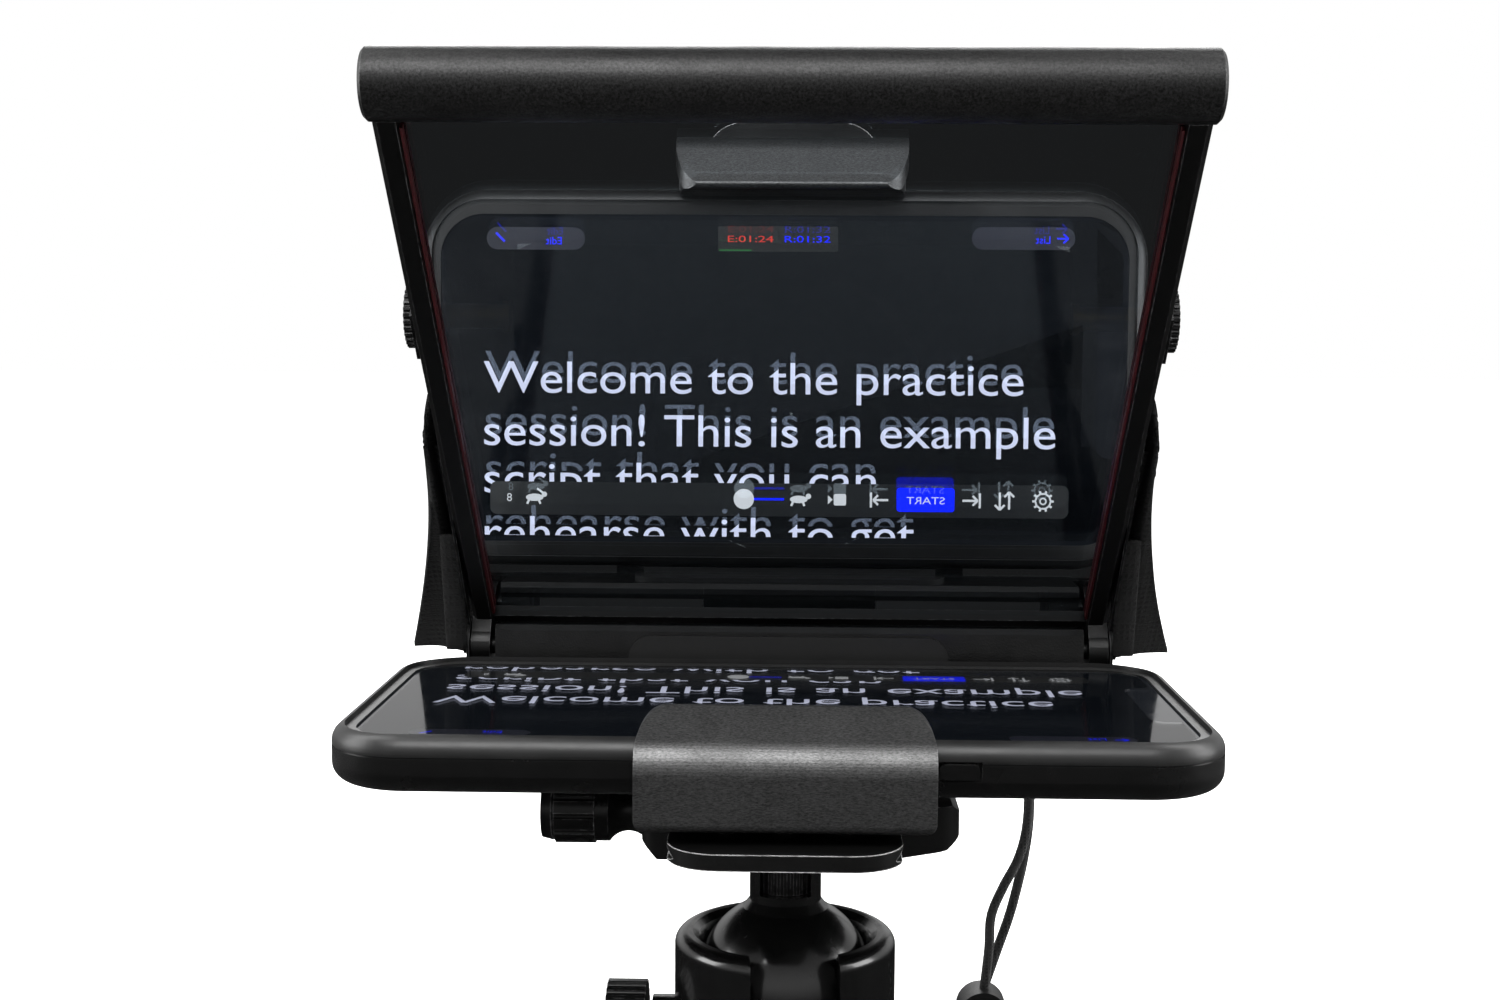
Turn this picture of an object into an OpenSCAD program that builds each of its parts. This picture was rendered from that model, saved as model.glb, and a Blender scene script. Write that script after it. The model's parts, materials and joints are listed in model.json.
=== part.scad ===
// Phone teleprompter: ball head, quick-release clamp, rail, phone holder,
// tilting beam splitter in a metal frame, and a fabric hood behind it.
// Millimetres. +Z is up, -Y faces the reader, +X is the reader's right.
// The origin is the mouth of the tripod socket under the ball head.

/* [Phone] */
// Length of the phone in its case, along X
case_len = 162.6; // [158:0.2:163]
// Width of the phone in its case, along Y
case_wid = 84.8; // [82:0.2:84.8]
// Thickness of the phone in its case
case_thk = 10.7; // [10.3:0.1:11.5]
// Corner radius of the case, in plan
case_corner = 15.5; // [12:0.5:16]

/* [Mirror frame] */
// Half the outside width of the frame over its two side rails
frame_half = 70; // [69:0.1:70]
// Slant height of the glass
glass_len = 139.4; // [120:0.2:139.4]
// Thickness of the glass
glass_thk = 1.6; // [1.1:0.1:1.6]
// Depth of the side rails behind the front of the glass
rail_depth = 14; // [8:1:16]
// Radius of the top bar
bar_r = 6.25; // [5:0.25:6.5]

/* [Base rail] */
// Width of the base rail
rail_wid = 40.5; // [38:0.5:40.5]
// Where the base rail ends behind the hood
rail_back = 182; // [178:1:195]

/* [Hood] */
// How far back the hood reaches
hood_back = 118; // [105:1:125]
// Radius of the lens opening
lens_r = 36; // [25:1:38]
// Thickness of the hood fabric
cloth = 1.2; // [0.8:0.1:1.4]

/* [Ball head] */
// Radius of the ball
ball_r = 17.2; // [17:0.1:17.4]
// Outside radius of the housing
housing_r = 21.3; // [21:0.1:21.6]
// Height of the ball's centre over the socket
ball_z = 40.6; // [40.4:0.1:41]

/* [Hidden] */
$fn = 96;

// Fits
gap = 0.1;        // between flat faces that slide
run = 0.05;       // radial, between a shaft and its bore
eps = 0.01;       // overlap of cutters past a face

// Phone and case
phone_x = -1.8;                     // the phone sits a little off centre
case_y0 = -33.2;
case_y1 = case_y0 + case_wid;
case_z0 = 84.6;
case_z1 = case_z0 + case_thk;
case_edge = 3.5;
end_wall = 4.4;
case_wall = 5.6;
phone_len = case_len - 2 * end_wall;
phone_wid = case_wid - 2 * case_wall;
case_floor = 2;
phone_z0 = case_z0 + case_floor;
phone_top = case_z1 - 2.2;
seam_z = case_z0 + 6.4;
rim_drop = 1.2;                     // the case's inner rim steps down by this
button_len = 7;
button_z = case_z0 + 5.3;

// Clamp and rail heights
clamp_z0 = 70;
clamp_floor = 75.2;
rail_foot = 75.4;
rail_z0 = 76.3;
rail_z1 = 79.2;
clamp_top = 80.3;
rail_front = -49.5;
rail_half = rail_wid / 2;
clamp_y0 = -20;
clamp_y1 = 28;
clamp_right = 32;
clamp_left = -26.5;
clamp_axis_z = 73.3;
groove_deep = 1.35;

// Front jaw
jaw_half = 25.8;
jaw_face_y = -44.9;
jaw_wall = 2.2;
jaw_z0 = 81.4;
shelf_top = jaw_z0 + jaw_wall;

// Mirror hinge and glass plane
hinge_y = 60;
hinge_z = 96;
glass_y = 60.5;
glass_z = 103.6;
tilt = 45;
inner_half = frame_half - 4.2;
glass_half = frame_half - 2.1;
screw_line = frame_half - 1;
bar_v = 145.8;
bar_half = 70.6;

// Thumb screws, on an arc about the hinge
lock_y = 2.5;
lock_z = 168.8;
lock_dy = lock_y - hinge_y;
lock_dz = lock_z - hinge_z;
lock_reach = norm([lock_dy, lock_dz]);
lock_angle = atan2(lock_dz, lock_dy);
bracket_in = 70.15;
bracket_out = 70.75;
thumb_in = 70.9;
thumb_out = 72.4;
thumb_r = 6.2;

// Hood
hood_in = frame_half - 1.2;
flap_in = 73.6;
hood_out = hood_in + cloth;
lens_z = 145;
sleeve_len = 14;

// Drawcord: two strands that hang from the hood's floor to the cord lock
cord_r = 1.2;
front_route = [[55.5, 100, 95], [56.5, 100, 84], [58, 99.6, 70], [58.6, 99.2, 57], [58.2, 98.8, 46],
               [56.2, 98.4, 38], [52.6, 98, 31], [49.8, 97.6, 24], [49.4, 97.4, 16], [48.4, 97.2, 6]];
rear_route = [[60, 103, 95], [59.6, 103, 84], [59, 102.6, 70], [59.2, 102, 57], [59, 101.8, 46],
              [58, 101.6, 38], [56.6, 101.4, 31], [54.6, 101.2, 23], [51.6, 101, 14], [49, 101, 6]];
lock_x = 48;
lock_y0 = 93.5;
lock_r = 6;

// ---- Shapes that repeat ----

// Rounded rectangle, centred
module rr(w, h, r) {
  square([w - 2 * r, h], center = true);
  square([w, h - 2 * r], center = true);
  for (sx = [-1, 1], sy = [-1, 1])
    translate([sx * (w / 2 - r), sy * (h / 2 - r)]) circle(r);
}

// Half of a slab's section: flat inside, with rounded outer edges
module slab_edge(reach, thk, re) {
  square([reach - re, thk]);
  translate([0, re]) square([reach, thk - 2 * re]);
  translate([reach - re, re]) circle(re);
  translate([reach - re, thk - re]) circle(re);
}

// Slab with round plan corners and round edges, centred in plan, on z = 0
module soft_slab(l, w, thk, rc, re) {
  linear_extrude(thk) square([l - 2 * rc, w - 2 * rc], center = true);
  for (sx = [-1, 1], sy = [-1, 1])
    translate([sx * (l / 2 - rc), sy * (w / 2 - rc), 0])
      rotate_extrude() intersection() {
        slab_edge(rc, thk, re);
        square([rc, thk]);
      }
  for (s = [0, 180]) rotate([0, 0, s]) {
    translate([l / 2 - rc, w / 2 - rc, 0]) rotate([90, 0, 0])
      linear_extrude(w - 2 * rc) slab_edge(rc, thk, re);
    translate([-(l / 2 - rc), w / 2 - rc, 0]) rotate([90, 0, 90])
      linear_extrude(l - 2 * rc) slab_edge(rc, thk, re);
  }
}

// Cylinder along X from x0 to x1, about the line y, z
module rod_x(x0, x1, y, z, r) {
  translate([x0, y, z]) rotate([0, 90, 0]) cylinder(h = x1 - x0, r = r);
}

// Cylinder along Y from y0 to y1, about the line x, z
module rod_y(y0, y1, x, z, r) {
  translate([x, y0, z]) rotate([-90, 0, 0]) cylinder(h = y1 - y0, r = r);
}

// Plate of a YZ outline, from x0 to x1
module plate_x(x0, x1) {
  translate([x0, 0, 0]) rotate([90, 0, 90]) linear_extrude(x1 - x0) children();
}

// Profile in the YZ plane, extruded over the width half each way
module across(half) {
  plate_x(-half, half) children();
}

// Frame of the glass: x across, y behind the glass, z up its slope
module on_glass() {
  translate([0, glass_y, glass_z]) rotate([tilt, 0, 0]) children();
}

// Point of the glass frame in the row's YZ plane
function glass_at(w, v) = [
  glass_y + w * cos(tilt) - v * sin(tilt),
  glass_z + w * sin(tilt) + v * cos(tilt)
];

// Knurled disc about Z: a plain disc with grooves along its rim
module knurled(r, h, teeth, bite) {
  difference() {
    cylinder(h = h, r = r);
    for (i = [0 : teeth - 1]) rotate([0, 0, i * 360 / teeth])
      translate([r + bite * 0.35, 0, -eps]) cylinder(h = h + 2 * eps, r = bite, $fn = 16);
  }
}

// Round tube swept along a route of points
function unit(v) = v / norm(v);
function tangent(p, i) =
  unit(p[min(i + 1, len(p) - 1)] - p[max(i - 1, 0)]);
module sweep(route, r, sides) {
  n = len(route);
  ring = [for (i = [0 : n - 1]) let (t = tangent(route, i),
      u = unit(cross([0, 1, 0], t)), v = cross(t, u))
      for (k = [0 : sides - 1]) let (a = 360 * k / sides)
        route[i] + r * (cos(a) * u + sin(a) * v)];
  skin = [for (i = [0 : n - 2], k = [0 : sides - 1]) let (j = (k + 1) % sides)
      [i * sides + k, i * sides + j, (i + 1) * sides + j, (i + 1) * sides + k]];
  first = [for (k = [sides - 1 : -1 : 0]) k];
  last = [for (k = [0 : sides - 1]) (n - 1) * sides + k];
  polyhedron(points = ring, faces = concat(skin, [first, last]), convexity = 4);
}

// ---- Ball head ----

base_top = 11;
washer_top = 11.6;
housing_z0 = 11.8;
ring_z0 = 45.2;
ring_z1 = 51;
stud_r = 3.175;
bushing_r = 6;
pan_stud_r = 7;
liner_out = ball_r + 0.9;
cavity_r = ball_r + 1.2;

module pan_base() color([0.06, 0.06, 0.065]) {
  difference() {
    union() {
      cylinder(h = base_top - 1.5, r = 20);
      translate([0, 0, base_top - 1.5]) cylinder(h = 1.5, r1 = 20, r2 = 18.5);
      cylinder(h = 17, r = pan_stud_r);
      translate([0, 0, 17]) cylinder(h = 2.2, r = 9.5);
    }
    translate([0, 0, -eps]) cylinder(h = 12, r = bushing_r);
  }
}

module socket_bushing() color([0.55, 0.5, 0.42])
  difference() {
    cylinder(h = 11.8, r = bushing_r);
    translate([0, 0, -eps]) cylinder(h = 10, r = stud_r);
    translate([-bushing_r, -0.6, -eps]) cube([2 * bushing_r, 1.2, 1.2]);
  }

module pan_washer() color([0.75, 0.73, 0.66])
  difference() {
    translate([0, 0, base_top]) cylinder(h = washer_top - base_top, r = 18);
    cylinder(h = 20, r = pan_stud_r);
  }

lock_screw_z = 15;
ball_knob_z = 31;
module ball_housing() color([0.05, 0.05, 0.055])
  difference() {
    union() {
      translate([0, 0, housing_z0]) cylinder(h = 1.5, r1 = housing_r - 1, r2 = housing_r);
      translate([0, 0, housing_z0 + 1.5]) cylinder(h = ring_z0 - housing_z0 - 1.5, r = housing_r);
      rod_x(-25.6, -15, 0, ball_knob_z, 6.4);
      rod_x(15, 23, 0, lock_screw_z + 3, 4.2);
    }
    translate([0, 0, ball_z]) sphere(cavity_r);
    translate([0, 0, housing_z0 - eps]) cylinder(h = 6, r = pan_stud_r + run);
    translate([0, 0, 16.9]) cylinder(h = 2.5, r = 9.7);
    rod_x(-30, -18.4, 0, ball_knob_z, 3 + run);
    rod_x(9, 30, 0, lock_screw_z + 3, 2 + run);
    drop_slot();
  }

// Slot in the front of the collar, which the neck can drop into
slot_turn = 6;
slot_wid = 16.6;
slot_floor = 38;
module drop_slot() rotate([0, 0, slot_turn]) {
  rod_y(-housing_r - 1, -housing_r + 8, 0, slot_floor, slot_wid / 2);
  translate([-slot_wid / 2, -housing_r - 1, slot_floor]) cube([slot_wid, 9, 20]);
}

lip_r = 2.4;
module retaining_ring() color([0.07, 0.07, 0.075])
  difference() {
    translate([0, 0, ring_z0]) rotate_extrude() difference() {
      union() {
        square([housing_r, ring_z1 - ring_z0 - lip_r]);
        square([housing_r - lip_r, ring_z1 - ring_z0]);
        translate([housing_r - lip_r, ring_z1 - ring_z0 - lip_r]) circle(lip_r);
      }
      translate([0, ball_z - ring_z0]) circle(ball_r + 0.3);
      polygon([[0, 2.6], [16.1, 2.6], [16.8, 4.6], [18, 6], [0, 6]]);
    }
    drop_slot();
  }

module pan_lock_screw() color([0.07, 0.07, 0.075]) {
  rod_x(10, 24, 0, lock_screw_z + 3, 2);
  translate([23.4, 0, lock_screw_z + 3]) rotate([0, 90, 0]) knurled(5.4, 7, 20, 0.5);
}

module ball_lock_knob() color([0.07, 0.07, 0.075]) {
  rod_x(-27, -19.2, 0, ball_knob_z, 3);
  translate([-34.4, 0, ball_knob_z]) rotate([0, 90, 0]) knurled(9.2, 7.6, 28, 0.7);
}

module ball_liner() color([0.72, 0.7, 0.6])
  translate([0, 0, ball_z]) rotate_extrude() difference() {
    circle(liner_out);
    circle(ball_r + run);
    translate([-30, -5]) square([60, 40]);
    translate([-30, -40]) square([30, 80]);
    translate([0, -40]) square([6, 40]);
  }

neck_r = 6.9;
wheel_r = 5.3;
wheel_z0 = 59;
wheel_h = 5;
module ball_stem() color([0.04, 0.04, 0.045])
  difference() {
    union() {
      translate([0, 0, ball_z]) sphere(ball_r);
      translate([0, 0, ball_z + 10]) cylinder(h = clamp_z0 - ball_z - 10, r = neck_r);
      translate([0, 0, ball_z + 14.9]) cylinder(h = 1.8, r1 = 8.4, r2 = neck_r);
    }
    translate([0, 0, wheel_z0 - gap]) cylinder(h = wheel_h + 2 * gap, r = wheel_r + 0.15);
    translate([-wheel_r + 0.4, -10, wheel_z0 - gap]) cube([2 * wheel_r - 0.8, 20, wheel_h + 2 * gap]);
    translate([0, 0, wheel_z0 - 5]) cylinder(h = 30, r = 2 + run);
  }

module neck_wheel() color([0.12, 0.12, 0.125]) {
  translate([0, 0, wheel_z0]) knurled(wheel_r, wheel_h, 26, 0.35);
  translate([0, 0, wheel_z0 - 4]) cylinder(h = clamp_z0 + 3 - wheel_z0 + 4, r = 2);
}

// ---- Quick-release clamp ----

// Ridge that reaches into the rail's side groove, in the XZ plane, on +X
module ridge(play) {
  polygon([[rail_half + play, rail_foot + 0.9], [rail_half - groove_deep + play, 77.3],
           [rail_half + play, 78.5], [rail_half + 1.5, 78.5], [rail_half + 1.5, rail_foot + 0.9]]);
}

module clamp_plan(x0, x1, r) {
  translate([(x0 + x1) / 2, (clamp_y0 + clamp_y1) / 2]) rr(x1 - x0, clamp_y1 - clamp_y0, r);
}

module clamp_base() color([0.06, 0.06, 0.065])
  difference() {
    union() {
      translate([0, 0, clamp_z0]) linear_extrude(clamp_top - clamp_z0)
        clamp_plan(clamp_left + 5.8, clamp_right, 5);
      translate([0, clamp_y1 - 4, 0]) rotate([90, 0, 0])
        linear_extrude(clamp_y1 - clamp_y0 - 8) ridge(0.15);
    }
    difference() {
      translate([-rail_half - 3, clamp_y0 - 1, clamp_floor])
        cube([2 * rail_half + 3.15, clamp_y1 - clamp_y0 + 2, 10]);
      translate([0, clamp_y1 - 4, 0]) rotate([90, 0, 0])
        linear_extrude(clamp_y1 - clamp_y0 - 8) ridge(0.15);
    }
    translate([0, 0, clamp_z0 - eps]) cylinder(h = 3.2, r = 2 + run);
    rod_x(-25, 14, 4, clamp_axis_z, 1.5 + run);
    for (y = [-9, 17]) rod_x(-25, -8, y, clamp_axis_z, 1);
    translate([clamp_right - 1.5, clamp_y0 - 1, clamp_top]) rotate([0, 45, 0])
      cube([4, clamp_y1 - clamp_y0 + 2, 4]);
    translate([0, clamp_y1 + 1, 0]) rotate([90, 0, 0]) linear_extrude(clamp_y1 - clamp_y0 + 2)
      polygon([[18, 69], [20, 70.6], [29.5, 72.2], [33, 75], [33, 69]]);
  }

module clamp_jaw() color([0.06, 0.06, 0.065])
  difference() {
    union() {
      translate([0, 0, clamp_z0]) linear_extrude(clamp_top - clamp_z0) intersection() {
        clamp_plan(clamp_left, clamp_left + 14, 4);
        translate([clamp_left, clamp_y0]) square([-rail_half - 0.15 - clamp_left, 100]);
      }
      mirror([1, 0, 0]) translate([0, clamp_y1 - 4, 0]) rotate([90, 0, 0])
        linear_extrude(clamp_y1 - clamp_y0 - 8) ridge(0.15);
    }
    translate([clamp_left + 5.7, clamp_y0 - 1, clamp_z0 - 1]) cube([9, 60, clamp_floor + 1 - clamp_z0]);
    rod_x(-30, -18, 4, clamp_axis_z, 1.5 + run);
    for (y = [-9, 17]) rod_x(-30, -18, y, clamp_axis_z, 1 + run);
    translate([clamp_left, clamp_y0 - 1, clamp_z0 + 3]) rotate([0, 135, 0]) cube([8, 60, 8]);
  }

module clamp_guide_pins() color([0.7, 0.7, 0.72])
  for (y = [-9, 17]) rod_x(clamp_left + 1, -8, y, clamp_axis_z, 1);

knob_tip = -47.3;
knob_len = 12.2;
module clamp_knob() color([0.06, 0.06, 0.065]) {
  translate([0, 4, clamp_axis_z]) {
    rotate([0, -90, 0]) rotate_extrude() difference() {
      translate([0, -clamp_left + 0.2]) square([6.2, -knob_tip + clamp_left - knob_len]);
      translate([8.6, -clamp_left + 4]) circle(4.4);
    }
    translate([knob_tip, 0, 0]) rotate([0, 90, 0]) difference() {
      union() {
        cylinder(h = 2.4, r1 = 5.6, r2 = 6.2);
        translate([0, 0, 2.4]) knurled(6.6, knob_len - 4.2, 12, 0.6);
        translate([0, 0, knob_len - 2]) cylinder(h = 2, r = 6.2);
      }
      translate([0, 0, 2.1]) rotate_extrude() translate([5.9, 0]) square([2, 0.5]);
    }
  }
  rod_x(clamp_left - 1, 13, 4, clamp_axis_z, 1.5);
}

// ---- Base rail and phone jaw ----

slot_half = 3.4;
screw_x = [-10.2, 0, 10.2];
rod_at = 13;
rod_r = 1;
rod_z = 82.5;
block_y0 = -8;
block_y1 = 4;
rod_end = 36;
spring_r = 1.7;
module base_rail() color([0.05, 0.05, 0.055])
  difference() {
    union() {
      translate([0, 0, rail_z0]) linear_extrude(rail_z1 - rail_z0) union() {
        translate([0, (rail_front + 20) / 2]) rr(rail_wid, 20 - rail_front, 9);
        translate([0, rail_back - 20]) rr(rail_wid, 40, 9);
        translate([-rail_half, -20]) square([rail_wid, rail_back]);
      }
      translate([0, rail_back - 12, 0]) rotate([90, 0, 0])
        linear_extrude(rail_back + 10) translate([-rail_half, rail_foot])
          square([rail_wid, rail_z1 - rail_foot]);
    }
    for (s = [0, 1]) mirror([s, 0, 0]) translate([0, rail_back + 1, 0]) rotate([90, 0, 0])
      linear_extrude(rail_back + 2 - rail_front) polygon([[rail_half + 1, rail_foot + 0.7],
        [rail_half, rail_foot + 0.9], [rail_half - groove_deep, 77.3],
        [rail_half, 78.5], [rail_half + 1, 78.6]]);
    translate([0, (95 + rail_back - 8) / 2, rail_foot - 1]) linear_extrude(6)
      rr(2 * slot_half, rail_back - 8 - 95, slot_half - 0.01);
    for (x = screw_x) translate([x, -34.4, rail_z0 - 1]) cylinder(h = 6, r = 1.5);
    for (x = [-12, 12]) translate([x, 59, rail_foot - 1]) cylinder(h = 6, r = 1.6);
    for (x = [-16.6, 16.6]) translate([x, -2, rail_foot - 1]) cylinder(h = 6, r = 1);
    translate([0, rail_back - 5, rail_foot - 1]) cylinder(h = 6, r = 1.5);
  }

module tongue_screws() color([0.2, 0.2, 0.21])
  for (x = screw_x) translate([x, -34.4, rail_z0]) difference() {
    union() {
      cylinder(h = rail_z1 - rail_z0 + 0.3, r = 1.5);
      translate([0, 0, -1.1]) cylinder(h = 1.1, r = 2.6);
    }
    translate([0, 0, -1.2]) cylinder(h = 0.9, r = 1.1, $fn = 6);
  }

module rail_stop_screw() color([0.2, 0.2, 0.21])
  translate([0, rail_back - 5, rail_foot + 0.3]) {
    cylinder(h = rail_z1 - rail_foot - 0.3, r = 1.5);
    translate([0, 0, rail_z1 - rail_foot - 0.3]) difference() {
      cylinder(h = 2, r = 3);
      translate([0, 0, 0.9]) cylinder(h = 2, r = 1.3, $fn = 6);
    }
  }

module guide_block() color([0.1, 0.1, 0.105])
  difference() {
    translate([-rail_half + 0.4, block_y0, rail_z1]) cube([rail_wid - 0.8, block_y1 - block_y0, 4.9]);
    for (s = [-1, 1]) {
      rod_y(block_y0 - 1, block_y1 + 1, s * rod_at, rod_z, rod_r + run);
      translate([s * 16.6, -2, rail_z1 - 1]) cylinder(h = 6, r = 1);
    }
  }

// The jaw's wall bends back over the phone through this arc
bend_at = [-37.9, 91];
bend_out = 7;
bend_in = bend_out - jaw_wall;
bend_end = 123;
lip_len = 8.5;
wall_in = jaw_face_y + jaw_wall;
function arc(c, r, a0, a1, n) = [for (i = [0 : n]) let (a = a0 + (a1 - a0) * i / n)
  c + r * [cos(a), sin(a)]];
function lip_at(r) = bend_at + r * [cos(bend_end), sin(bend_end)]
  + lip_len * [sin(bend_end), -cos(bend_end)];

// Section of the front jaw in the YZ plane: shelf, wall, and inclined lip
module jaw_section() {
  polygon(concat([[jaw_face_y + 1.5, jaw_z0], [-18, jaw_z0], [-18, shelf_top], [wall_in + 0.6, shelf_top],
    [wall_in, shelf_top + 0.6]], arc(bend_at, bend_in, 180, bend_end, 8),
    [lip_at(bend_in), lip_at(bend_out)], arc(bend_at, bend_out, bend_end, 180, 12),
    [[jaw_face_y, jaw_z0 + 1.5]]));
  translate([jaw_face_y + 1.5, jaw_z0 + 1.5]) circle(1.5);
  translate(lip_at(bend_out - jaw_wall / 2)) circle(jaw_wall / 2 - 0.02);
}

module jaw_front_outline(inset) {
  r = 6.5;
  translate([0, jaw_z0 + 7]) rr(2 * (jaw_half - inset), 14, 2.2);
  translate([0, jaw_z0 + 12]) rr(2 * (jaw_half - inset), 17, r);
}

module front_jaw() color([0.3, 0.31, 0.33])
  difference() {
    intersection() {
      across(jaw_half) jaw_section();
      rotate([90, 0, 0]) translate([0, 0, 10]) linear_extrude(40) jaw_front_outline(0);
    }
    for (s = [-1, 1]) rod_y(jaw_face_y + 0.8, 0, s * rod_at, rod_z, rod_r);
  }

// Rubber lining of the jaw: a shelf pad, a wall pad and the lip pad
module front_jaw_pad() color([0.03, 0.03, 0.03])
  intersection() {
    across(jaw_half - 1) polygon(concat([[-18.5, shelf_top], [-18.5, case_z0 - gap],
      [case_y0 - gap, case_z0 - gap], [case_y0 - gap, case_z1 + gap], [case_y0 + 1.5, case_z1 + gap],
      [case_y0 + 1, case_z1 + 1], lip_at(bend_in)], arc(bend_at, bend_in, bend_end, 180, 8),
      [[wall_in, shelf_top + 0.6], [wall_in + 0.6, shelf_top]]));
    rotate([90, 0, 0]) translate([0, 0, 10]) linear_extrude(40) jaw_front_outline(1);
  }

module guide_rods() color([0.75, 0.75, 0.77])
  for (s = [-1, 1]) {
    rod_y(jaw_face_y + 0.8, rod_end, s * rod_at, rod_z, rod_r);
    rod_y(rod_end, rod_end + 1.5, s * rod_at, rod_z, spring_r);
  }

module jaw_springs() color([0.6, 0.6, 0.62])
  for (s = [-1, 1]) difference() {
    rod_y(block_y1 + 0.1, rod_end - 0.1, s * rod_at, rod_z, spring_r);
    rod_y(block_y1, rod_end, s * rod_at, rod_z, rod_r + 0.1);
  }

// ---- Hinge base behind the phone ----

pin_r = 2;
module hinge_base() color([0.035, 0.035, 0.038])
  difference() {
    union() {
      plate_x(-64.5, 64.5) polygon([[54.5, 83], [58, 83], [58, 100], [56.8, 101.3], [55.6, 101.3],
        [54.5, 100.2]]);
      translate([-40, 44, jaw_z0]) cube([80, 14, 3]);
      translate([-rail_half + 0.4, 50, rail_z1]) cube([rail_wid - 0.8, 16, 4.2]);
      for (s = [-1, 1]) plate_x(s * 61.25 - 3.25, s * 61.25 + 3.25)
        polygon([[57, 84], [66, 84], [66, 97], [63, 100], [57, 100]]);
    }
    for (s = [-1, 1]) rod_x(s * 61.25 - 5, s * 61.25 + 5, hinge_y, hinge_z, pin_r);
    for (x = [-12, 12]) translate([x, 59, 70]) cylinder(h = 20, r = 1.6);
  }

module hinge_base_screws() color([0.2, 0.2, 0.21])
  for (x = [-12, 12]) translate([x, 59, 0]) difference() {
    translate([0, 0, rail_foot]) cylinder(h = 8, r = 1.6);
    translate([0, 0, rail_foot - 0.1]) cylinder(h = 1.4, r = 1, $fn = 6);
  }

module rear_pad() color([0.03, 0.03, 0.03]) {
  translate([0, 54.5, 92.1]) rotate([90, 0, 0]) linear_extrude(1.2) rr(70, 14.6, 5);
  translate([-33, case_y1 + gap, case_z0 + 0.2]) cube([66, 53.6 - case_y1 - gap, 8.5]);
}

// Arc band about the hinge, in the YZ plane
module arc_band(r0, r1, a0, a1) {
  steps = 16;
  polygon(concat(
    [for (i = [0 : steps]) let (a = a0 + (a1 - a0) * i / steps)
      [hinge_y + r1 * cos(a), hinge_z + r1 * sin(a)]],
    [for (i = [steps : -1 : 0]) let (a = a0 + (a1 - a0) * i / steps)
      [hinge_y + r0 * cos(a), hinge_z + r0 * sin(a)]]));
}

module bracket_outline() {
  difference() {
    union() {
      arc_band(lock_reach - 5.5, lock_reach + 5.5, lock_angle - 12, lock_angle + 4);
      arc_band(5, lock_reach - 5, lock_angle - 9, lock_angle + 1);
      translate([hinge_y, hinge_z]) circle(6.5);
      translate([54.5, 84]) square([12.5, 12]);
    }
    arc_band(lock_reach - 2.1, lock_reach + 2.1, lock_angle - 9.4, lock_angle + 1.4);
    translate([hinge_y, hinge_z]) circle(2);
  }
}

module bracket_part() color([0.05, 0.05, 0.055]) {
  plate_x(bracket_in, bracket_out) bracket_outline();
  translate([64.5, 54.5, 84]) cube([bracket_in - 64.5, 7.5, 4.8]);
}
module right_bracket() { bracket_part(); }
module left_bracket() { mirror([1, 0, 0]) bracket_part(); }

// ---- Mirror frame ----

module hinge_pins() color([0.7, 0.7, 0.72])
  for (s = [-1, 1]) rod_x(s * 65.1 - 7.1, s * 65.1 + 7.1, hinge_y, hinge_z, pin_r);

// Outline above the roof of the hood, which the side rails stay under
module over_roof() {
  polygon([[-36, 209.6], [hood_back, 186.4], [hood_back, 240], [-36, 240]]);
}

rail_top_v = 143.4;
module side_rail() color([0.045, 0.045, 0.05])
  difference() {
    union() {
      on_glass() translate([0, 0, -6]) linear_extrude(rail_top_v + 6) polygon([
        [inner_half, -3], [frame_half - 1, -3], [frame_half, -2], [frame_half, rail_depth],
        [inner_half, rail_depth], [inner_half, glass_thk + gap], [glass_half + gap, glass_thk + gap],
        [glass_half + gap, -gap], [inner_half, -gap]]);
      plate_x(inner_half, frame_half) {
        translate([hinge_y, hinge_z]) circle(5);
        polygon([[55.2, 97.5], [59.5, 104.5], [70, 105], [64.6, 94.4], [60, 93]]);
      }
    }
    rod_x(60, 80, hinge_y, hinge_z, pin_r + run);
    rod_x(60, 80, lock_y, lock_z, 1.5 + run);
    plate_x(60, 80) over_roof();
    on_glass() translate([60, 0.3, bar_v]) rotate([0, 90, 0]) cylinder(h = 20, r = bar_r);
    on_glass() translate([screw_line, 0.3, 128.4]) cylinder(h = 20, r = 0.6);
  }
module right_rail() { side_rail(); }
module left_rail() { mirror([1, 0, 0]) side_rail(); }

module top_bar() color([0.09, 0.09, 0.095])
  difference() {
    on_glass() translate([-bar_half, 0.3, bar_v]) rotate([0, 90, 0]) rotate_extrude()
      polygon([[0, 0], [bar_r - 0.6, 0], [bar_r, 0.6], [bar_r, 2 * bar_half - 0.6],
               [bar_r - 0.6, 2 * bar_half], [0, 2 * bar_half]]);
    for (s = [-1, 1]) on_glass() translate([s * screw_line, 0.3, 136.4]) cylinder(h = 9, r = 0.6);
  }

module bar_screws() color([0.5, 0.5, 0.52])
  for (s = [-1, 1]) on_glass() translate([s * screw_line, 0.3, 129.4]) cylinder(h = 15, r = 0.6);

module bottom_bar() color([0.045, 0.045, 0.05])
  on_glass() translate([0, 0, -2.2]) linear_extrude(2.2) polygon([
    [-inner_half, -1.4], [inner_half, -1.4], [inner_half, 3], [-inner_half, 3]]);

module beam_splitter() color([0.75, 0.8, 0.82, 0.35])
  on_glass() translate([-glass_half, 0, 0]) cube([2 * glass_half, glass_thk, glass_len]);

module thumb_screw() color([0.08, 0.08, 0.085]) {
  rod_x(54, thumb_in + 1, lock_y, lock_z, 1.5);
  translate([thumb_in, lock_y, lock_z]) rotate([0, 90, 0])
    knurled(thumb_r, thumb_out - thumb_in, 30, 0.45);
}
module right_thumb_screw() { thumb_screw(); }
module left_thumb_screw() { mirror([1, 0, 0]) thumb_screw(); }

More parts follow.
